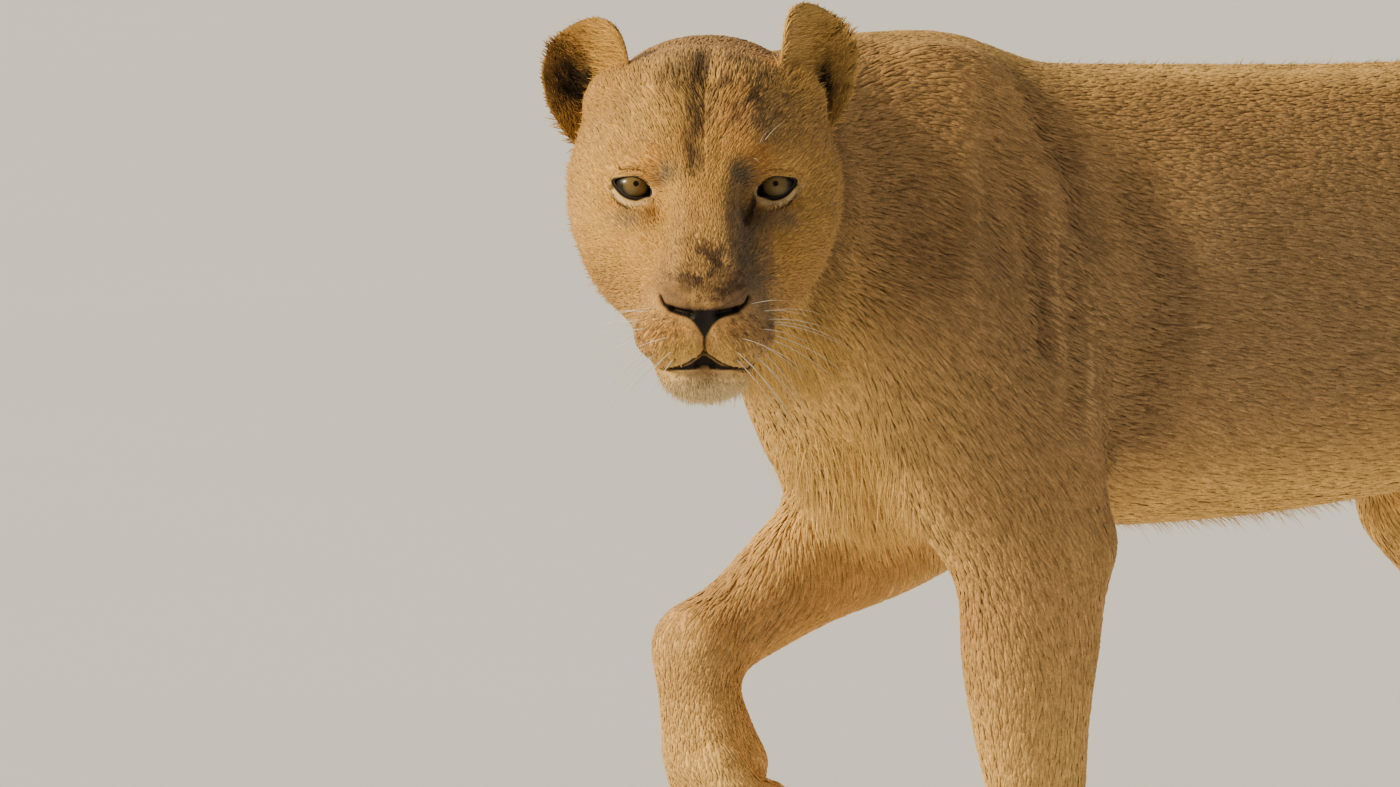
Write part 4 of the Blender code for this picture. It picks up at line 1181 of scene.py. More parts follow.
# the lie of the coat: (start, end, reach, strength)
def lieGuides():
    guides = [
        ((-0.60, -0.10, 0.90), (-0.36, 0.00, 0.93), 0.10, 1.0),
        ((-0.66, -0.18, 0.78), (-0.42, -0.02, 0.72), 0.14, 1.0),
        ((-0.62, -0.16, 0.70), (-0.46, -0.02, 0.56), 0.10, 1.0),
        ((-0.47, -0.02, 0.66), (-0.42, -0.01, 0.50), 0.08, 1.0),
        ((-0.34, 0.00, 0.92), (0.45, 0.00, 0.89), 0.12, 1.2),
        ((-0.40, 0.00, 0.48), (0.10, 0.00, 0.47), 0.10, 1.0),
        ((0.10, 0.00, 0.48), (0.34, 0.00, 0.60), 0.10, 1.0),
        ((0.44, 0.00, 0.88), (0.55, 0.00, 0.80), 0.07, 1.2),
        ((0.50, 0.00, 0.72), (0.50, 0.00, 0.58), 0.07, 1.0),
    ]
    for side in (-1, 1):
        guides += [
            ((-0.30, side * 0.15, 0.78), (0.20, side * 0.16, 0.66), 0.14, 1.0),
            ((-0.20, side * 0.14, 0.60), (0.20, side * 0.14, 0.52), 0.12, 1.0),
            ((0.25, side * 0.13, 0.80), (0.44, side * 0.12, 0.64), 0.11, 1.0),
        ]
    for joints in (leftForeleg, rightForeleg):
        top = joints[0]
        guides.append((top, (top[0] + 0.06, top[1] * 1.6, 0.74), 0.09, 0.8))
        guides += [(a, b, 0.07, 1.2) for a, b in zip(joints[1:-1], joints[2:])]
    for joints in (leftHindleg, rightHindleg):
        guides += [(a, b, 0.07, 1.2) for a, b in zip(joints[:-1], joints[1:])]
    guides += [(a, b, 0.04, 1.5) for a, b in zip(tailLine[:-1], tailLine[1:])]
    return [(np.array(a, float), np.array(b, float), reach, strength) for a, b, reach, strength in guides]


def lieOf(points, normals):
    # the way the hair lies at each point, along the skin
    total = np.zeros_like(points)
    for start, end, reach, strength in lieGuides():
        along = end - start
        length = np.linalg.norm(along)
        t = held((points - start) @ along / length**2)
        distance = np.linalg.norm(points - (start + t[:, None] * along), axis=1)
        total += (strength * np.exp(-((distance / reach) ** 2)) + 1e-5)[:, None] * along / length
    place = inHead(points)
    away = unit(place - (0.125, 0, -0.102))  # from the tip of the nose
    up = place[:, 2]
    away[:, 1] += 0.5 * np.sign(place[:, 1]) * held((up + 0.02) / 0.10) * (up < 0.08)
    beard = held((-0.10 - up) / 0.05) * (place[:, 0] > -0.04)
    away += beard[:, None] * np.array((-0.5, 0, -0.6))
    onFace = np.exp(-(((np.linalg.norm(place - (-0.03, 0, -0.02), axis=1)) / 0.15) ** 4)) * 3
    total += onFace[:, None] * (away @ headAxes)
    swirl = np.stack([cloud(points, 0.045, seed) for seed in (21, 22, 23)], axis=1)
    total = unit(total) + 0.16 * swirl
    total -= (total * normals).sum(1)[:, None] * normals
    return unit(total)


# tufts
coatSet = {
    "gap": 1.0,  # 1 is the full coat, more is thinner, and 0 is none
    "grain": 0.13,  # how much one tuft differs from the next in tone
    "darkShare": 0.06,  # of the tufts are dark
    "darkTone": 0.74,
    "stray": 0.30,  # how far tufts turn from their neighbours
    "shade": (0.97, 1.02),  # painted shade: tone at the root, darker, and at the tip
    "soft": 0.50,  # how much a tuft takes its light as the skin under it does
    "ridge": 0.32,  # height of a tuft's ridge as a share of its width
    "sunk": 0.0010,  # how far its root is in the skin
    "arch": (0.35, 0.015),  # how high its middle stands, by its rise and by its length
    "lengths": (0.85, 0.30),  # the least, and how much more by chance
    "widths": (0.8, 0.4),
    "rises": (0.55, 0.75),
    "slots": {
        "head": ("Face", "Head", "chin", "Cheek"),
        "neck": ("Neck",),
        "left_forearm": ("LeftForeleg",),
        "right_forearm": ("RightForeleg",),
        "left_shank": ("LeftHindleg",),
        "right_shank": ("RightHindleg",),
        "tail": ("Tail",),
        "tail_tuft": ("tailLocks",),
    },
}


def varied(leastAndMore, count=None):
    least, more = leastAndMore
    return least + more * rng.random(count)


def rootsOn(points, triangles, normals, spacing):
    # places spread evenly over the triangles, one for each square of the spacing that holds there
    corners = points[triangles]
    cross = np.cross(corners[:, 1] - corners[:, 0], corners[:, 2] - corners[:, 0])
    area = np.linalg.norm(cross, axis=1) / 2
    wanted = area / spacing[triangles].mean(1) ** 2
    total = np.cumsum(wanted)
    count = int(total[-1])
    picks = (np.arange(count) + rng.random(count)) * (total[-1] / count)
    chosen = np.minimum(np.searchsorted(total, picks), len(triangles) - 1)
    u, v = rng.random((2, count))
    over = u + v > 1
    u[over], v[over] = 1 - u[over], 1 - v[over]
    weights = np.stack((1 - u - v, u, v), axis=1)[:, :, None]
    places = (corners[chosen] * weights).sum(1)
    facing = (normals[triangles[chosen]] * weights).sum(1)
    return places, unit(facing)


def tuftMesh(name, stations, widths, upright, colours, places):
    # stations: points along each tuft from its root to its tip. Each tuft is a closed three-sided blade.
    count, last = len(stations[0]), len(stations) - 1
    verts = [stations[0]]
    for j in range(1, last):
        side = unit(np.cross(upright, stations[j + 1] - stations[j - 1]))
        wide = widths[j - 1][:, None]
        verts += [stations[j] + side * wide / 2, stations[j] - side * wide / 2]
        verts.append(stations[j] + upright * wide * coatSet["ridge"])
    verts.append(stations[last])
    each = len(verts)
    points = np.stack(verts, axis=1).reshape(-1, 3)
    pattern = [(0, 3, 1), (0, 2, 3), (0, 1, 2)]
    for ring in range(last - 2):
        a, b = 1 + 3 * ring, 4 + 3 * ring
        for i, k in ((0, 2), (2, 1), (1, 0)):
            pattern += [(a + i, a + k, b + i), (a + k, b + k, b + i)]
    a, tip = each - 4, each - 1
    pattern += [(tip, a, a + 2), (tip, a + 2, a + 1), (tip, a + 1, a)]
    triangles = (np.array(pattern)[None] + (np.arange(count) * each)[:, None, None]).reshape(-1, 3)
    mesh = meshFrom(name, points, triangles)
    shade = np.linspace(*coatSet["shade"], last + 1)
    share = np.array([shade[0], *np.repeat(shade[1:last], 3), shade[last]])
    keepColours(mesh, (colours[:, None, :] * share[None, :, None]).reshape(-1, 3))
    turned = coatSet["soft"] * np.repeat(upright, each, axis=0) + (1 - coatSet["soft"]) * normalsOf(mesh)
    mesh.normals_split_custom_set_from_vertices(unit(turned))
    patch = 0.0015  # room for each tuft on the map
    corner = [(0, -patch)]
    for j in range(1, last):
        up = patch * (2 * j / last - 1)
        corner += [(-patch, up), (patch, up), (0, up)]
    corner.append((0, patch))
    spread = (places[:, None, :] + np.array(corner)[None]).reshape(-1, 2)
    layer = mesh.uv_layers.new(name="OFBake")
    layer.data.foreach_set("uv", spread[triangles.ravel()].astype(np.float32).ravel())
    return mesh


def unrolled(points, start, end):
    # unwraps a round part of her about its own axis: turn across, distance along it up
    start, end = np.array(start, float), np.array(end, float)
    along = (end - start) / np.linalg.norm(end - start)
    aside = np.cross(along, (0.3, 1, 0.2))
    aside /= np.linalg.norm(aside)
    offset = points - start
    angle = np.arctan2(offset @ np.cross(along, aside), offset @ aside) / (2 * math.pi) + 0.5
    height = held(offset @ along / np.linalg.norm(end - start))
    return np.stack((0.004 + 0.992 * angle, 0.004 + 0.992 * height), axis=1)


# spacing, length, width and rise of the tufts: (place, axes, radii, (spacing, length, width, rise))
coatCut = {
    "sharp": 1.6,
    "body": (0.00352, 0.0245, 0.00270, 0.0011),
    "places": [
        (onHead(-0.10, 0, 0.0), headAxes, (0.12, 0.14, 0.14), (0.0028, 0.0180, 0.0017, 0.0016)),
        (onHead(0.02, 0, -0.03), headAxes, (0.07, 0.085, 0.085), (0.0019, 0.0105, 0.0011, 0.0009)),
        (onHead(0.08, 0, -0.10), headAxes, (0.05, 0.06, 0.045), (0.0016, 0.0062, 0.0008, 0.0006)),
        ((-0.47, -0.02, 0.58), worldAxes, (0.09, 0.12, 0.09), (0.0034, 0.0310, 0.0024, 0.0034)),
        ((-0.62, -0.14, 0.70), worldAxes, (0.10, 0.12, 0.06), (0.0034, 0.0270, 0.0024, 0.0030)),
        ((0.00, 0.00, 0.475), worldAxes, (0.36, 0.10, 0.035), (0.0034, 0.0270, 0.0020, 0.0040)),
        (leftForeleg[4], worldAxes, (0.11, 0.09, 0.07), (0.0030, 0.0125, 0.0020, 0.0008)),
        (rightForeleg[4], worldAxes, (0.09, 0.09, 0.09), (0.0030, 0.0125, 0.0020, 0.0008)),
        (leftHindleg[3], worldAxes, (0.12, 0.09, 0.08), (0.0030, 0.0125, 0.0020, 0.0008)),
        (rightHindleg[3], worldAxes, (0.12, 0.09, 0.08), (0.0030, 0.0125, 0.0020, 0.0008)),
        (tailLine[4], worldAxes, (0.05, 0.05, 0.17), (0.0031, 0.0160, 0.0017, 0.0014)),
    ],
}


def coatParts(points):
    # (piece, the part of her it covers, ends of the axis it is unwrapped about)
    place = inHead(points)
    x, y, z = points.T
    head = (points - (-0.652, -0.158, 0.81)) @ np.array((-0.60, -0.75, 0.05)) > 0
    neck = ~head & ((points - (-0.515, -0.055, 0.77)) @ np.array((-0.78, -0.40, 0.48)) > 0) & (z > 0.5)
    face = head & (place[:, 0] > -0.045)
    tail = (x > 0.545) & (z > 0.15) & (np.abs(y) < 0.045)
    foreleg = ~head & ~neck & (z < 0.50) & (x < -0.235)
    behind = (x > 0.02) & (np.abs(y) > 0.012) & ((x > 0.19) | (z < 0.46))
    hindleg = ~head & ~neck & (z < 0.56) & behind & ~tail
    trunk = ~(head | neck | foreleg | hindleg | tail)
    parts = {
        "coatFace": (face, onHead(-0.05, 0, -0.19), onHead(-0.05, 0, 0.13)),
        "coatHead": (head & ~face, onHead(-0.05, 0, -0.12), onHead(-0.05, 0, 0.14)),
        "coatNeck": (neck, (-0.42, -0.01, 0.74), (-0.70, -0.20, 0.82)),
        "coatTail": (tail, (0.60, 0.0, 0.80), (0.88, 0.0, 0.16)),
    }
    for word, own, front, hind in (
        ("Left", y < 0, leftForeleg, leftHindleg),
        ("Right", y >= 0, rightForeleg, rightHindleg),
    ):
        parts |= {
            f"coat{word}Shoulder": (trunk & own & (x < -0.18), (-0.56, 0, 0.70), (-0.18, 0, 0.69)),
            f"coat{word}Flank": (trunk & own & (x >= -0.18) & (x < 0.15), (-0.18, 0, 0.69), (0.15, 0, 0.69)),
            f"coat{word}Rump": (trunk & own & (x >= 0.15), (0.15, 0, 0.70), (0.58, 0, 0.76)),
            f"coat{word}Foreleg": (foreleg & own, front[4], front[2]),
            f"coat{word}Hindleg": (hindleg & own, hind[3], hind[1]),
        }
    return parts


def slotOf(piece):
    found = [slot for slot, words in coatSet["slots"].items() if any(word in piece for word in words)]
    return found[0] if found else "trunk"


def growCoat(skin, tree, laid, material):
    points, triangles, normals = pointsOf(skin), trianglesOf(skin), normalsOf(skin)
    spacing = byPlace(points, coatCut)[:, 0] * coatSet["gap"]
    roots, facing = rootsOn(points, triangles, normals, spacing)
    gap = hairGap(roots, laid)
    outward = unit(roots - onHead(-0.10, 0, 0))
    foldedIn = (eyeGap(roots) <= 0.014) & ((facing * outward).sum(1) <= 0.45)  # the edge of a lid
    keep = (gap > 0) & ~foldedIn
    roots, facing, gap = roots[keep], facing[keep], gap[keep]
    trim = held(0.30 + 0.70 * gap / 0.012)  # shorter beside what is bare
    cut = byPlace(roots, coatCut)
    count = len(roots)
    length = cut[:, 1] * varied(coatSet["lengths"], count) * trim
    width = cut[:, 2] * varied(coatSet["widths"], count)
    rise = cut[:, 3] * trim
    lie = lieOf(roots, facing)
    lie += np.cross(facing, lie) * (coatSet["stray"] * (rng.random(count) - 0.5))[:, None]
    tips = roots + lie * length[:, None]
    for i in range(count):
        nearest, outward = tree.find_nearest(tips[i])[:2]
        tips[i] = np.array(nearest) + np.array(outward) * rise[i] * varied(coatSet["rises"])
    byRise, byLength = coatSet["arch"]
    middles = (roots + tips) / 2 + facing * (rise * byRise + length * byLength)[:, None]
    start = roots - facing * coatSet["sunk"]
    grain = np.exp(coatSet["grain"] * rng.normal(size=count))[:, None]
    dark = (rng.random(count) < coatSet["darkShare"])[:, None]
    colours = coatColours(roots, facing, laid) * grain * np.where(dark, coatSet["darkTone"], 1.0)
    for name, (chosen, low, high) in coatParts(roots).items():
        pick = np.flatnonzero(chosen)
        stations = [start[pick], middles[pick], tips[pick]]
        places = unrolled(roots[pick], low, high)
        mesh = tuftMesh(name, stations, [width[pick]], facing[pick], colours[pick], places)
        print(f"{name}: {len(pick)} tufts, {len(mesh.polygons)} triangles")
        finished(name, mesh, material)


# long hair: chin, cheeks, throat, breast, belly, back and the tail's tuft
def growLocks(name, roots, facing, lie, length, colours, places, material, slotName, cut):
    # cut says how wide the locks are, how far they drop and spread, and how many bends they have
    count, bends = len(roots), cut["bends"]
    lie = unit(lie + cut["spread"] * rng.normal(size=(count, 3)))
    length = length * varied((0.75, 0.5), count)
    stations = []
    for t in np.linspace(0, 1, bends + 2):
        fall = down * (cut["drop"] * length * t * t)[:, None]
        stations.append(roots - facing * 0.0015 + lie * (length * t)[:, None] + fall)
    width = cut["width"] * varied(coatSet["widths"], count)
    widths = [width * (1 - 0.25 * j) for j in range(bends)]
    grain = np.exp(0.12 * rng.normal(size=count))[:, None]
    mesh = tuftMesh(name, stations, widths, facing, colours * grain, places)
    print(f"{name}: {count} locks, {len(mesh.polygons)} triangles")
    finished(name, mesh, material)


def locksAt(place, axes, radii, spacing, length, tone, width, drop, spread, off, bends=3):
    # where long hair grows and how it is cut: off is how far it stands off the skin
    cut = {"width": width, "drop": drop, "spread": spread, "bends": bends}
    where = (np.array(place), np.array(axes), radii)
    return {"where": where, "spacing": spacing, "length": length, "tone": tone, "off": off, "cut": cut}


cheek = {"width": 0.0008, "drop": 0.0, "spread": 0.20, "off": 0.32, "bends": 1}
cheekTop = {"width": 0.0008, "drop": 0.1, "spread": 0.26, "off": 0.30, "bends": 2}
lockSet = {
    "chinLocks": locksAt(
        onHead(0.050, 0, -0.175), headAxes, (0.040, 0.038, 0.019), 0.0016, 0.0110, "chin",
        width=0.0008, drop=0.20, spread=0.22, off=0.22, bends=2,
    ),
    "leftCheekTopLocks": locksAt(
        onHead(-0.075, 0.070, 0.068), headAxes, (0.032, 0.024, 0.034), 0.0021, 0.0180, "cream", **cheekTop
    ),
    "rightCheekTopLocks": locksAt(
        onHead(-0.080, -0.070, 0.060), headAxes, (0.032, 0.022, 0.034), 0.0021, 0.0160, "gold", **cheekTop
    ),
    "rightCheekLocks": locksAt(
        onHead(-0.075, -0.098, -0.035), headAxes, (0.060, 0.034, 0.085), 0.0024, 0.0110, "gold", **cheek
    ),
    "leftCheekLocks": locksAt(
        onHead(-0.075, 0.098, -0.035), headAxes, (0.060, 0.034, 0.085), 0.0024, 0.0110, "gold", **cheek
    ),
    "throatLocks": locksAt(
        (-0.60, -0.15, 0.665), worldAxes, (0.070, 0.070, 0.035), 0.0040, 0.030, "cream",
        width=0.0015, drop=0.50, spread=0.18, off=0.18,
    ),
    "breastLocks": locksAt(
        (-0.465, -0.03, 0.545), worldAxes, (0.060, 0.070, 0.055), 0.0038, 0.036, "straw",
        width=0.0014, drop=0.45, spread=0.22, off=0.20,
    ),
    "bellyLocks": locksAt(
        (0.02, 0.0, 0.475), worldAxes, (0.200, 0.045, 0.020), 0.0050, 0.028, "cream",
        width=0.0016, drop=0.35, spread=0.18, off=0.18,
    ),
    "backLocks": locksAt(
        (0.06, 0.0, 0.884), worldAxes, (0.340, 0.022, 0.016), 0.0036, 0.0130, "gold",
        width=0.0013, drop=0.0, spread=0.22, off=0.30, bends=1,
    ),
    "tailLocks": locksAt(
        tailLine[7], worldAxes, (0.048, 0.030, 0.048), 0.0026, 0.042, "black",
        width=0.0016, drop=0.05, spread=0.16, off=0.18,
    ),
}


def growLongHair(skin, laid, material):
    points, triangles, normals = pointsOf(skin), trianglesOf(skin), normalsOf(skin)
    for name, locks in lockSet.items():
        where = locks["where"]
        middle, axes, radii = where
        inside = (bump(points, *where)[triangles] > 0.02).all(1)
        roots, facing = rootsOn(points, triangles[inside], normals, np.full(len(points), locks["spacing"]))
        share = bump(roots, *where)
        keep = (rng.random(len(roots)) < 2.5 * share) & (hairGap(roots, laid) > 0.001)
        roots, facing, share = roots[keep], facing[keep], share[keep]
        lie = lieOf(roots, facing) + locks["off"] * facing
        length = locks["length"] * (0.45 + 0.55 * held(2 * share))
        colours = mixed(coatColours(roots, facing, laid), locks["tone"], np.full(len(roots), 0.5))
        reach = axes[2] * max(radii)
        places = unrolled(roots, middle - reach, middle + reach)
        growLocks(name, roots, facing, lie, length, colours, places, material, slotOf(name), locks["cut"])


# ears
earSet = {
    "height": 0.111,
    "halfWidth": 0.0405,
    "hollow": 0.029,
    "thick": (0.0055, 0.0022),  # at the foot and at the rim
    "columns": 33,
    "rows": 25,
    "spacing": 0.0017,
    "fur": {"width": 0.0011, "drop": 0.05, "spread": 0.26, "bends": 1},
    "fringe": {"width": 0.0007, "drop": 0.12, "spread": 0.22, "bends": 2},
    "right": {
        "foot": (-0.090, -0.092, 0.038),
        "tip": (-0.104, -0.107, 0.150),
        "facing": (0.90, -0.42, 0.10),
        "dark": (-0.40, 0.52, 0.55, 0.24),  # where the painted black shade of the hollow is, across and up, and its size
        "gold": 0.72,  # how light the gold is
        "straw": 0.0,  # how much straw is mixed in
        "rimTone": "gold",
        "fringeTone": "cream",
        "inner": 1,  # the way across to the middle of the head
    },
    "left": {
        "foot": (-0.090, 0.092, 0.050),
        "tip": (-0.104, 0.101, 0.168),
        "facing": (0.78, 0.61, 0.05),
        "dark": (0.42, 0.36, 0.30, 0.24),
        "gold": 1.0,
        "straw": 0.45,
        "rimTone": "straw",
        "fringeTone": "straw",
        "inner": -1,
    },
}


def earFrame(side):
    # the foot of an ear, and the ways across it, up it and out of its hollow
    ear = earSet[side]
    foot, tip = onHead(*ear["foot"]), onHead(*ear["tip"])
    up = (tip - foot) / np.linalg.norm(tip - foot)
    opening = np.array(ear["facing"]) @ headAxes
    across = np.cross(up, opening)
    across /= np.linalg.norm(across)
    return foot, across, up, np.cross(across, up)


def earSheet(side, aside, share):
    # points on the middle of the ear's wall: aside from -1 to 1, share from the foot to the tip
    foot, across, up, opening = earFrame(side)
    wide = earSet["halfWidth"] * (0.46 + 0.54 * np.sin(math.pi / 2 * np.minimum(share / 0.55, 1)))
    high = earSet["height"] * share * (1 - 0.42 * share * (1 - np.sqrt(1 - aside**2)))
    deep = earSet["hollow"] * (1 - aside**2) * (1 - 0.45 * share)
    curl = 0.004 * np.abs(aside) ** 3 * share
    return foot + up * high[:, None] + across * (wide * aside)[:, None] - opening * (deep - curl)[:, None]


def earRim(columns, rows):
    # the numbers of the points round the edge of the grid, in order
    grid = np.arange(rows * columns).reshape(rows, columns)
    return [*grid[0], *grid[1:, -1], *grid[-1, -2::-1], *grid[-2:0:-1, 0]]


def makeEar(side):
    columns, rows = earSet["columns"], earSet["rows"]
    turns = np.linspace(-math.pi / 2, math.pi / 2, columns)
    aside, share = (part.ravel() for part in np.meshgrid(np.sin(turns), np.linspace(0, 1, rows)))
    middle, opening = earSheet(side, aside, share), earFrame(side)[3]
    step = 0.004
    right, left = np.clip(aside + step, -1, 1), np.clip(aside - step, -1, 1)
    above, below = held(share + step), held(share - step)
    toSide = earSheet(side, right, share) - earSheet(side, left, share)
    toTip = earSheet(side, aside, above) - earSheet(side, aside, below)
    out = np.cross(toSide, toTip)
    size = np.linalg.norm(out, axis=1)
    out = np.where((size > 1e-12)[:, None], out / np.maximum(size, 1e-12)[:, None], opening)
    out *= np.sign(out @ opening)[:, None] + (out @ opening == 0)[:, None]
    foot, edge = earSet["thick"]
    thick = foot + (edge - foot) * np.maximum(share, np.abs(aside) ** 3)
    inner, outer = middle + out * thick[:, None] / 2, middle - out * thick[:, None] / 2
    count = columns * rows
    faces = []
    for r in range(rows - 1):
        for c in range(columns - 1):
            a, e = r * columns + c, (r + 1) * columns + c
            b, d = a + 1, e + 1
            faces += [(a, b, d), (a, d, e)]
            faces += [(count + a, count + d, count + b), (count + a, count + e, count + d)]
    rim = earRim(columns, rows)
    for a, b in zip(rim, rim[1:] + rim[:1]):
        faces += [(b, a, count + a), (b, count + a, count + b)]
    return facedOutward(meshFrom(side + "Ear", np.vstack((inner, outer)), np.array(faces)), weld=1e-6)


def earPlace(side, points):
    # how far across and how far up an ear each point is
    foot, across, up, _ = earFrame(side)
    offset = points - foot
    return offset @ across / earSet["halfWidth"], offset @ up / earSet["height"]


def earHollow(side, aside, share):
    middle, height, wide, high = earSet[side]["dark"]
    return np.exp(-(((aside - middle) / wide) ** 2) - ((share - height) / high) ** 2)


def earColours(side, points, inside):
    # gold with a black patch behind, painted dark shade in the hollow and a spotted rim
    ear = earSet[side]
    aside, share = earPlace(side, points)
    edge = np.maximum(np.abs(aside), share)
    colours = np.tile(tones["gold"] * ear["gold"], (len(points), 1))
    colours = mixed(colours, "straw", np.full(len(points), ear["straw"]))
    patchBehind = held((share - 0.25) / 0.2) * held((0.78 - edge) / 0.10)
    colours = mixed(colours, "black", np.where(inside, 0, 0.93) * patchBehind)
    rim = held((edge - 0.75) / 0.15)
    colours = mixed(colours, ear["rimTone"], np.where(inside, 0.25, 0.15) * rim)
    # painted shade: deep in the hollow the inside turns bark, then black
    hollow = earHollow(side, aside, share)
    ragged = 1 + 0.5 * cloud(points, 0.006, 33)
    colours = mixed(colours, "bark", np.where(inside, 0.60, 0) * held(1.5 * hollow * ragged))
    colours = mixed(colours, "black", np.where(inside, 0.95, 0) * held(2.4 * hollow * ragged - 1.0))
    spots = held(cloud(points, 0.0085, 31) * 2.2 - 0.5) * held((edge - 0.72) / 0.10)
    return mixed(colours, "black", 0.75 * spots * held((0.98 - edge) / 0.06))


def furLie(side, facing, inside, aside, edge):
    # inside an ear the fur lies up and in across the hollow, outside it lies up and away
    _, across, up, _ = earFrame(side)
    out = np.sign(aside)[:, None] * across
    inLie = up * 0.65 - across * earSet[side]["inner"] * 0.75
    outLie = up + (0.2 + 0.3 * edge[:, None]) * out
    lie = np.where(inside[:, None], inLie + 0.35 * edge[:, None] * out, outLie)
    lie -= (lie * facing).sum(1)[:, None] * facing
    return unit(lie) + facing * np.where(inside, 0.75 - 0.45 * edge, 0.20)[:, None]


def dressEar(side, skinMaterial, coatMaterial):
    mesh, opening, name = makeEar(side), earFrame(side)[3], side + "_ear"
    points, normals, triangles = pointsOf(mesh), normalsOf(mesh), trianglesOf(mesh)
    keepColours(mesh, earColours(side, points, normals @ opening > 0) * 0.80)
    keepWet(mesh, np.zeros(len(points)))
    roots, facing = rootsOn(points, triangles, normals, np.full(len(points), earSet["spacing"]))
    aside, share = earPlace(side, roots)
    inside = facing @ opening > 0
    edge = held((np.maximum(np.abs(aside), share) - 0.80) / 0.15)
    lie = furLie(side, facing, inside, aside, edge)
    hollow = earHollow(side, aside, share)
    length = np.where(inside, 0.0120 - 0.0030 * hollow, 0.0070) * (1 - 0.58 * edge)
    keep = ~inside | (rng.random(len(roots)) > 0.5 * held(1.6 * hollow))  # thinner in the hollow
    colours = earColours(side, roots, inside)
    places = np.clip(np.stack((0.25 + 0.22 * aside + 0.5 * inside, 0.05 + 0.85 * share), axis=1), 0.01, 0.99)
    fur = (part[keep] for part in (roots, facing, lie, length, colours, places))
    growLocks(side + "EarFur", *fur, coatMaterial, name, earSet["fur"])
    innerHalf = inside & (aside * earSet[side]["inner"] > 0.10) & (share < 0.92)
    fringe = innerHalf & (rng.random(len(roots)) < 0.55)
    pale = colours[fringe] * 0.2 + tones[earSet[side]["fringeTone"]] * 0.8
    roots, facing, lie, places = (part[fringe] for part in (roots, facing, lie, places))
    length = 0.009 + 0.010 * rng.random(fringe.sum())
    lie = lie + 0.15 * facing
    hair = (roots, facing, lie, length, pale, places)
    growLocks(side + "EarFringe", *hair, coatMaterial, name, earSet["fringe"])
    finished(side + "Ear", mesh, skinMaterial, [name])


# eyes
eyeSet = {
    "iris": 0.0122,  # radius
    "pupil": 0.0024,
    "gaze": {"right": (7, 9), "left": (0, 9)},  # degrees in and up from straight ahead
    "cornea": 0.0012,  # how far it bulges
    "corneaWide": 42,  # degrees from its middle to its edge
    "rings": 40,
    "turns": 48,
    "darkRim": (0.0004, 0.0026),  # width round the eye, and how much more at the outer corner
    "rim": 0.0006,  # radius of the wet rim of the lids
    "outside": (0.0008, 1.05),  # how far the rim lies out from the opening, and how much wider it is
}


def makeEye(side, word, material):
    ball = bmesh.new()
    bmesh.ops.create_uvsphere(ball, u_segments=eyeSet["turns"], v_segments=eyeSet["rings"],
                              radius=headSet["eyeRadius"] - 0.0002)
    for vert in ball.verts:
        angle = math.degrees(math.atan2(math.hypot(vert.co.x, vert.co.y), vert.co.z))
        swell = max(0, 1 - (angle / eyeSet["corneaWide"]) ** 2) ** 2
        vert.co *= 1 + (eyeSet["cornea"] / headSet["eyeRadius"]) * swell
    mesh = bpy.data.meshes.new(word + "Eye")
    ball.to_mesh(mesh)
    ball.free()
    shadeSmooth(mesh)
    mesh.materials.append(material)
    made = placeIn(word + "Eye", mesh)
    inward, lifted = (math.tan(math.radians(angle)) for angle in eyeSet["gaze"][word])
    gaze = Vector(ahead - toLeft * side * inward + upward * lifted).normalized()
    upright = gaze.cross(Vector(toLeft)).normalized()
    sideways = upright.cross(gaze)
    turned = Matrix((sideways, upright, gaze)).transposed().to_4x4()
    middle = Vector(onHead(-headSet["eyeDepth"] - 0.0006, side * headSet["eyeApart"], 0) + shift)
    made.matrix_world = Matrix.Translation(middle) @ turned
    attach(made, "root")
    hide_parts(word + "_eye")


def tubeAlong(path, radii, sides=6, closed=False):
    # verts and triangles of a round tube, capped at its ends or closed in a ring
    path, count = np.array(path), len(path)
    verts, faces = [], []
    for i in range(count):
        before = path[i - 1] if closed or i else path[0]
        after = path[(i + 1) % count] if closed or i < count - 1 else path[-1]
        along = after - before
        along /= np.linalg.norm(along)
        side = np.cross(along, ahead + 0.01 * upward)
        side /= np.linalg.norm(side)
        square = np.cross(side, along)
        for k in range(sides):
            a = 2 * math.pi * k / sides
            verts.append(path[i] + radii[i] * (math.cos(a) * side + math.sin(a) * square))
    for i in range(count if closed else count - 1):
        j = (i + 1) % count
        for k in range(sides):
            a, b = i * sides + k, i * sides + (k + 1) % sides
            c, d = j * sides + (k + 1) % sides, j * sides + k
            faces += [(a, b, c), (a, c, d)]
    for i in () if closed else (0, count - 1):
        verts.append(path[i])
        for k in range(sides):
            a, b = i * sides + k, i * sides + (k + 1) % sides
            faces.append((len(verts) - 1, a, b) if i else (len(verts) - 1, b, a))
    return np.array(verts), np.array(faces)


def joinedTubes(name, tubes):
    verts, faces, start = [], [], 0
    for points, triangles in tubes:
        verts.append(points)
        faces.append(triangles + start)
        start += len(points)
    return facedOutward(meshFrom(name, np.vstack(verts), np.vstack(faces)))


def makeLids(tree, material):
    # dark wet rims that close each lid onto its eyeball
    outward, wider = eyeSet["outside"]
    middle = np.array((headSet["eyeApart"] + outward, 0.0))
    tubes = []
    for side in (-1, 1):
        path = []
        for place in closedCurve(eyeOutline, 4):
            left, up = middle + (place - middle) * wider
            hit = tree.ray_cast(Vector(onHead(0.06, side * left, up)), Vector(-ahead))[0]
            path.append(np.array(hit) - ahead * 0.0004)
        path = np.array(path)
        for _ in range(2):
            path = 0.5 * path + 0.25 * (np.roll(path, 1, axis=0) + np.roll(path, -1, axis=0))
        tubes.append(tubeAlong(path, np.full(len(path), eyeSet["rim"]), 8, closed=True))
    finished("eyeRims", joinedTubes("eyeRims", tubes), material)


# whiskers and claws
def onSkin(tree, place):
    # the nearest point of the skin, and the way out of it there
    return (np.array(v) for v in tree.find_nearest(Vector(place))[:2])


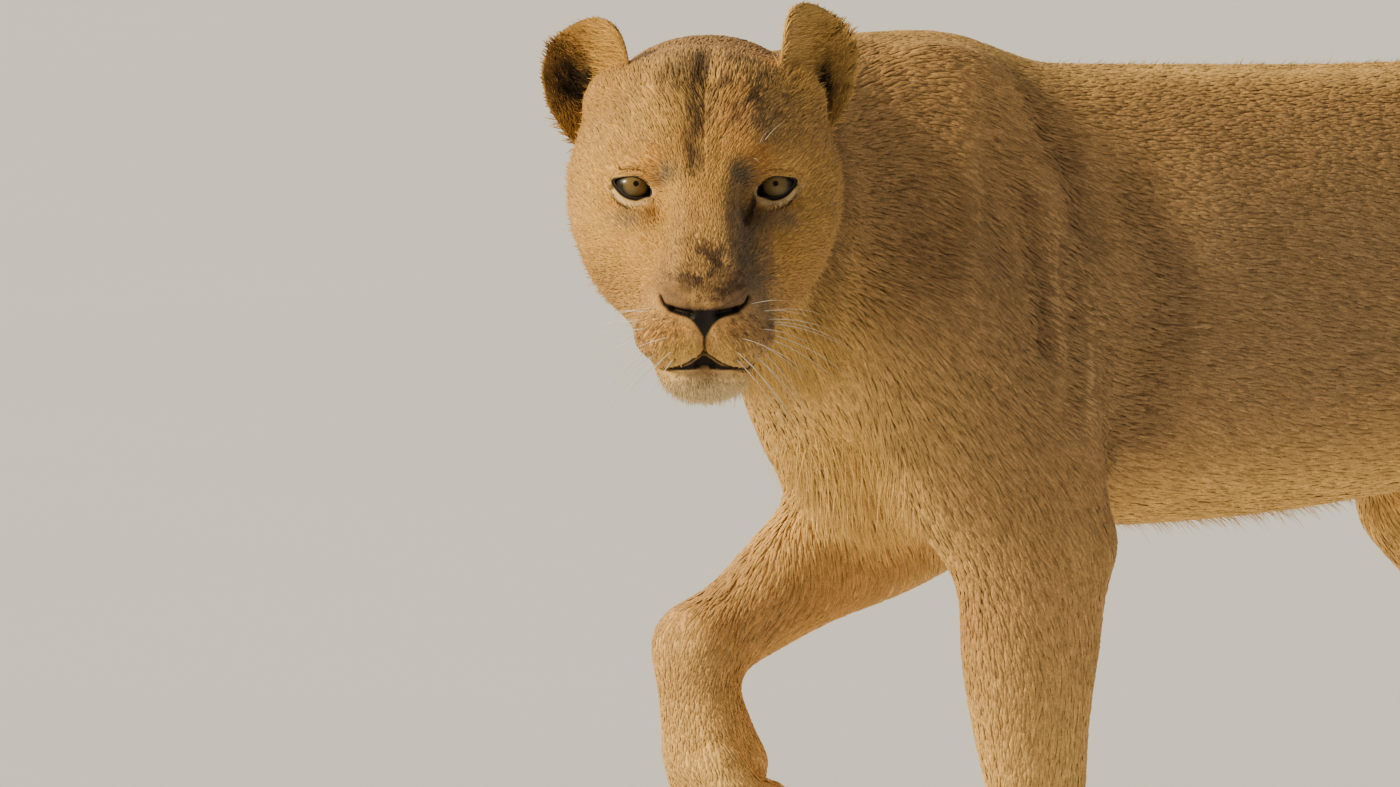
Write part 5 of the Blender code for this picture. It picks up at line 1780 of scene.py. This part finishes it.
def makeWhiskers(tree, material):
    thick, (shortest, longest) = whiskerSet["thick"], whiskerSet["long"]
    tubes = []
    for side, line, k, place in whiskerSpots():
        root, out = onSkin(tree, onHead(*place))
        long = shortest + (longest - shortest) * rng.random()
        way = out * 0.35 + toLeft * side * 0.80 + upward * (0.10 - 0.20 * line) - ahead * (0.25 + 0.10 * k)
        way = way + 0.10 * rng.normal(size=3)
        way /= np.linalg.norm(way)
        steps = np.linspace(0, 1, 9)
        droop = -upward * 0.30 - ahead * 0.30
        path = root - out * 0.002 + long * (steps[:, None] * way + steps[:, None] ** 2 * droop)
        tubes.append(tubeAlong(path, thick * (1.02 - steps), 5))
    for side in (-1, 1):
        for k in range(3):
            root, out = onSkin(tree, onHead(0, side * (0.036 + 0.005 * k), 0.028 + 0.003 * k))
            steps = np.linspace(0, 1, 8)
            way = out * 0.8 + upward * 0.6 + toLeft * side * (0.15 * k) + 0.1 * rng.normal(size=3)
            bend = steps[:, None] * way - steps[:, None] ** 2 * upward * 0.35
            path = root - out * 0.002 + whiskerSet["overEye"] * bend
            tubes.append(tubeAlong(path, 0.7 * thick * (1.02 - steps), 5))
    finished("whiskers", joinedTubes("whiskers", tubes), material)
    print(f"whiskers: {len(tubes)}")


clawSet = {
    "long": 0.013,
    "thick": 0.0030,
    "drop": 0.9,
    "over": 0.010,  # how far ahead of and over the toe's last section a claw is laid on the skin
    "sheathed": 0.004,  # how much of it is under the skin
}


def makeClaws(tree, material):
    # the tips of the sheathed claws, one over each toe
    tubes = []
    for joints, rise, paw in (
        (leftForeleg, (0, 0, 1), "fore"),
        (rightForeleg, (-1, 0, -0.6), "fore"),
        (leftHindleg, (0, 0, 1), "hind"),
        (rightHindleg, (0, 0, 1), "hind"),
    ):
        knuckles, tip = np.array(joints[-2]), np.array(joints[-1])
        along = (tip - knuckles) / np.linalg.norm(tip - knuckles)
        top = np.array(rise) / np.linalg.norm(rise)
        for place, short in toePlaces():
            toe = knuckles + (tip - knuckles) * short + np.array(acrossBody) * toeSet[paw]["gap"] * place
            hit, _ = onSkin(tree, toe + along * clawSet["over"] + top * clawSet["over"])
            steps = np.linspace(0, 1, 7)
            bend = steps[:, None] * along - steps[:, None] ** 2 * top * clawSet["drop"]
            path = hit - along * clawSet["sheathed"] + clawSet["long"] * bend
            tubes.append(tubeAlong(path, clawSet["thick"] * (1.03 - steps) ** 0.7, 8))
    finished("claws", joinedTubes("claws", tubes), material)
    print(f"claws: {len(tubes)}")


# finishes
finishSet = {
    "coat": {
        "Specular IOR Level": 0.22,
        "Sheen Weight": 0.04,
        "Sheen Roughness": 0.45,
        "Sheen Tint": (1.0, 0.86, 0.66, 1),
    },
    "skin": {"Specular IOR Level": 0.22},
    "eye": {"Roughness": 0.30, "Specular IOR Level": 0.15, "Coat Weight": 0.25, "Coat Roughness": 0.02},
    "hair": {"Scale": 520.0, "Detail": 3.0, "Roughness": 0.7},  # fine grain of coat and skin
    "clouds": {"Scale": 60.0, "Detail": 4.0, "Roughness": 0.6},
    "pores": 850.0,  # pebbles of the bare nose
    "streaks": {"Scale": 9.0, "Detail": 4.0, "Roughness": 0.7},  # rays of the iris
    "eyeRim": ((0.010, 0.007, 0.005), (0.022, 0.014, 0.010), 600.0, 0.55),
    "claw": ((0.16, 0.11, 0.07), (0.30, 0.23, 0.16), 260.0, 0.35),
    "whisker": ((0.80, 0.74, 0.62), (0.62, 0.55, 0.42), 90.0, 0.42),
    "paleFloor": ((0.76, 0.77, 0.80), (0.74, 0.75, 0.78), 0.6, 0.9, 0.0),
}


def nodeOf(nodes, kind, **settings):
    made = nodes.new(kind)
    for name, value in settings.items():
        if hasattr(made, name):
            setattr(made, name, value)
        else:
            made.inputs[name.replace("_", " ")].default_value = value
    return made


def newFinish(name, fixed=None):
    # fixed: what is the same all over, on the shader's own sockets
    finish = bpy.data.materials.new(name)
    finish.use_nodes = True
    nodes, links = finish.node_tree.nodes, finish.node_tree.links
    shader = nodes["Principled BSDF"]
    for socket, value in (fixed or {}).items():
        shader.inputs[socket].default_value = value
    return finish, nodes, links, shader, nodeOf(nodes, "ShaderNodeTexCoord").outputs["Object"]


def textureAt(nodes, links, place, kind="Noise", result="Fac", **settings):
    texture = nodeOf(nodes, "ShaderNodeTex" + kind, **settings)
    links.new(place, texture.inputs["Vector"])
    return texture.outputs[result]


def scaledTone(nodes, links, source, factor):
    # a colour made lighter or darker by a value near 1
    product = nodeOf(nodes, "ShaderNodeVectorMath", operation="SCALE")
    links.new(source, product.inputs[0])
    links.new(factor, product.inputs["Scale"])
    return product.outputs[0]


def rangeOf(nodes, links, source, low, high, fromLow=0.3, fromHigh=0.7):
    spread = nodeOf(nodes, "ShaderNodeMapRange", From_Min=fromLow, From_Max=fromHigh, To_Min=low, To_Max=high)
    links.new(source, spread.inputs["Value"])
    return spread.outputs["Result"]


def relief(nodes, links, shader, height, strength, distance):
    bumps = nodeOf(nodes, "ShaderNodeBump", Strength=strength, Distance=distance)
    links.new(height, bumps.inputs["Height"])
    links.new(bumps.outputs["Normal"], shader.inputs["Normal"])


def coatFinish():
    finish, nodes, links, shader, place = newFinish("lionessCoat", finishSet["coat"])
    tone = nodeOf(nodes, "ShaderNodeVertexColor", layer_name="tone").outputs["Color"]
    fine = textureAt(nodes, links, place, **finishSet["hair"])
    broad = textureAt(nodes, links, place, **finishSet["clouds"])
    tone = scaledTone(nodes, links, tone, rangeOf(nodes, links, fine, 0.72, 1.22))
    tone = scaledTone(nodes, links, tone, rangeOf(nodes, links, broad, 0.90, 1.08))
    links.new(tone, shader.inputs["Base Color"])
    links.new(rangeOf(nodes, links, fine, 0.62, 0.80), shader.inputs["Roughness"])
    relief(nodes, links, shader, fine, 0.35, 0.0010)
    return finish


def skinFinish():
    finish, nodes, links, shader, place = newFinish("lionessSkin", finishSet["skin"])
    tone = nodeOf(nodes, "ShaderNodeVertexColor", layer_name="tone").outputs["Color"]
    wet = nodeOf(nodes, "ShaderNodeAttribute", attribute_name="wet").outputs["Fac"]
    hair = textureAt(nodes, links, place, **finishSet["hair"])
    pores = textureAt(nodes, links, place, "Voronoi", "Distance", Scale=finishSet["pores"])
    tone = scaledTone(nodes, links, tone, rangeOf(nodes, links, hair, 0.84, 1.14))
    links.new(tone, shader.inputs["Base Color"])
    height = nodeOf(nodes, "ShaderNodeMix", data_type="FLOAT")  # hair where it is dry, pores where it is wet
    for source, socket in ((wet, 0), (hair, 2), (pores, 3)):
        links.new(source, height.inputs[socket])
    relief(nodes, links, shader, height.outputs[0], 0.45, 0.0012)
    links.new(rangeOf(nodes, links, wet, 0.78, 0.45, 0.0, 1.0), shader.inputs["Roughness"])
    return finish


def irisTones():
    # (share of the way to the iris's edge, colour)
    pupil = eyeSet["pupil"] / eyeSet["iris"]
    return [
        (0.0, (0.002, 0.002, 0.002)),
        (pupil + 0.03, (0.004, 0.003, 0.002)),
        (pupil + 0.08, (0.205, 0.130, 0.036)),
        (0.50, (0.190, 0.132, 0.043)),
        (0.74, (0.150, 0.105, 0.036)),
        (0.86, (0.080, 0.055, 0.022)),
        (0.95, (0.010, 0.007, 0.004)),
        (1.0, (0.022, 0.014, 0.010)),
    ]


def eyeFinish():
    finish, nodes, links, shader, place = newFinish("lionessEye", finishSet["eye"])
    split = nodeOf(nodes, "ShaderNodeSeparateXYZ")
    links.new(place, split.inputs[0])
    flat = nodeOf(nodes, "ShaderNodeCombineXYZ")
    for axis in ("X", "Y"):
        links.new(split.outputs[axis], flat.inputs[axis])
    radius = nodeOf(nodes, "ShaderNodeVectorMath", operation="LENGTH")
    ray = nodeOf(nodes, "ShaderNodeVectorMath", operation="NORMALIZE")
    for node in (radius, ray):
        links.new(flat.outputs[0], node.inputs[0])
    rays = textureAt(nodes, links, ray.outputs[0], **finishSet["streaks"])
    wobble = nodeOf(nodes, "ShaderNodeMath", operation="MULTIPLY_ADD")  # a ragged edge to every ring
    links.new(rays, wobble.inputs[0])
    wobble.inputs[1].default_value = 0.0016
    links.new(radius.outputs["Value"], wobble.inputs[2])
    share = nodeOf(nodes, "ShaderNodeMath", operation="DIVIDE")
    links.new(wobble.outputs[0], share.inputs[0])
    share.inputs[1].default_value = eyeSet["iris"] + 0.0008
    ring = nodeOf(nodes, "ShaderNodeValToRGB")
    stops, ramp = irisTones(), ring.color_ramp
    while len(ramp.elements) < len(stops):
        ramp.elements.new(0.5)
    for element, (at, colour) in zip(ramp.elements, stops):
        element.position = at
        element.color = (*colour, 1)
    links.new(share.outputs[0], ring.inputs["Fac"])
    streak = rangeOf(nodes, links, rays, 0.75, 1.30)
    links.new(scaledTone(nodes, links, ring.outputs["Color"], streak), shader.inputs["Base Color"])
    return finish


def plainFinish(name):
    # one colour broken up by another, with a little relief
    colour, second, scale, roughness, *strength = finishSet[name]
    finish, nodes, links, shader, place = newFinish(name)
    noise = textureAt(nodes, links, place, Scale=scale, Detail=4.0)
    blend = nodeOf(nodes, "ShaderNodeValToRGB")
    for element, at, tone in zip(blend.color_ramp.elements, (0.35, 0.65), (colour, second)):
        element.position = at
        element.color = (*tone, 1)
    links.new(noise, blend.inputs["Fac"])
    links.new(blend.outputs["Color"], shader.inputs["Base Color"])
    links.new(rangeOf(nodes, links, noise, roughness * 0.85, roughness * 1.15), shader.inputs["Roughness"])
    relief(nodes, links, shader, noise, *(strength or [0.2]), 0.0005)
    return finish


# putting her together
def wetness(points, laid):
    # 1 on the nose leather, less on the lips and in the nostrils
    wet = held(-noseGap(points) / 0.0020)
    wet = np.maximum(wet, 0.5 * held(-mouthGap(points) / 0.002))
    for name in ("mouth", "nostrilHole"):
        wet = np.maximum(wet, 0.6 * nearLine(points, laid, name, 0.003))
    return wet


def treeOf(mesh):
    return BVHTree.FromPolygons([tuple(p) for p in pointsOf(mesh)], [tuple(f) for f in trianglesOf(mesh)])


skinMaterial, coatMaterial = skinFinish(), coatFinish()
skin = makeSkin()
laid = drawRelief(skin, treeOf(skin))
tree = treeOf(skin)
skinPoints = pointsOf(skin)
lighter = 1 + 0.45 * held(hairGap(skinPoints, laid) / 0.010)  # little light gets between the tufts
keepColours(skin, coatColours(skinPoints, normalsOf(skin), laid, bare=True) * lighter[:, None])
keepWet(skin, wetness(skinPoints, laid))
shadeSmooth(skin)
print(f"skin: {len(skinPoints)} points, {len(trianglesOf(skin))} triangles")

if coatSet["gap"] > 0:
    growCoat(skin, tree, laid, coatMaterial)
    growLongHair(skin, laid, coatMaterial)
for word in ("right", "left"):
    dressEar(word, skinMaterial, coatMaterial)
eyeMaterial = eyeFinish()
for side, word in ((-1, "right"), (1, "left")):
    makeEye(side, word, eyeMaterial)
makeLids(tree, plainFinish("eyeRim"))
print("ears and eyes: in place")
makeClaws(tree, plainFinish("claw"))
makeWhiskers(tree, plainFinish("whisker"))
fleshNodes = [name for name in sorted(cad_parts) if not name.endswith(("_eye", "_ear"))]
finished("skin", skin, skinMaterial, fleshNodes)
print("lioness: put together")


# floor, light and camera
stageSet = {
    "floor": 200.0,
    "sky": (1.0, 0.96, 0.92),
    "skyStrength": 0.31,
    "key": {"power": 4.9, "aside": 70, "lift": 30, "soft": 9, "colour": (1.0, 0.85, 0.54)},
    "rim": {"power": 1.2, "aside": 150, "lift": 35, "soft": 20, "colour": (1.0, 0.90, 0.76)},
}
cameraSet = {
    "azimuth": -27,  # degrees round her from straight at her left side
    "elevation": 5,
    "distance": 12.0,
    "lens": 363.034,  # on a frame 36 wide
    "aside": -0.0038,
    "below": 0.1755,
}


def makeStage():
    size = stageSet["floor"]
    corners = np.array([(-size, -size, 0), (size, -size, 0), (size, size, 0), (-size, size, 0)], float)
    mesh = meshFrom("floor", corners, np.array([(0, 1, 2), (0, 2, 3)]))
    floor = placeIn("floor", mesh)
    mesh.materials.append(plainFinish("paleFloor"))
    world = bpy.data.worlds.new("studio")
    world.use_nodes = True
    back = world.node_tree.nodes["Background"]
    back.inputs["Color"].default_value = (*stageSet["sky"], 1)
    back.inputs["Strength"].default_value = stageSet["skyStrength"]
    bpy.context.scene.world = world


def addLight(name, viewBack, viewRight):
    # from "aside" degrees to the left of the camera and "lift" degrees above level
    light = stageSet[name]
    aside, lift = math.radians(light["aside"]), math.radians(light["lift"])
    level = viewBack * math.cos(aside) - viewRight * math.sin(aside)
    way = level * math.cos(lift) + Vector((0, 0, math.sin(lift)))
    lamp = bpy.data.lights.new(name, "SUN")
    lamp.energy, lamp.angle, lamp.color = light["power"], math.radians(light["soft"]), light["colour"]
    made = placeIn(name, lamp)
    made.location = way * 4
    made.rotation_euler = way.to_track_quat("Z", "Y").to_euler()


def makeCamera():
    azimuth, elevation = math.radians(cameraSet["azimuth"]), math.radians(cameraSet["elevation"])
    level = Vector((math.sin(azimuth), -math.cos(azimuth), 0)) * math.cos(elevation)
    back = level + Vector((0, 0, math.sin(elevation)))
    right = Vector((0, 0, 1)).cross(back).normalized()
    up = back.cross(right)
    lens = bpy.data.cameras.new("camera")
    lens.sensor_width, lens.lens = 36, cameraSet["lens"]
    lens.clip_end = 60
    made = placeIn("camera", lens)
    aim = Vector(eyesNow) + right * cameraSet["aside"] - up * cameraSet["below"]  # from between her eyes
    made.location = aim + back * cameraSet["distance"]
    made.rotation_euler = back.to_track_quat("Z", "Y").to_euler()
    bpy.context.scene.camera = made
    return back, right


makeStage()
viewBack, viewRight = makeCamera()
for lightName in ("key", "rim"):
    addLight(lightName, Vector((viewBack.x, viewBack.y, 0)).normalized(), viewRight)
print("stage: floor, light and camera")
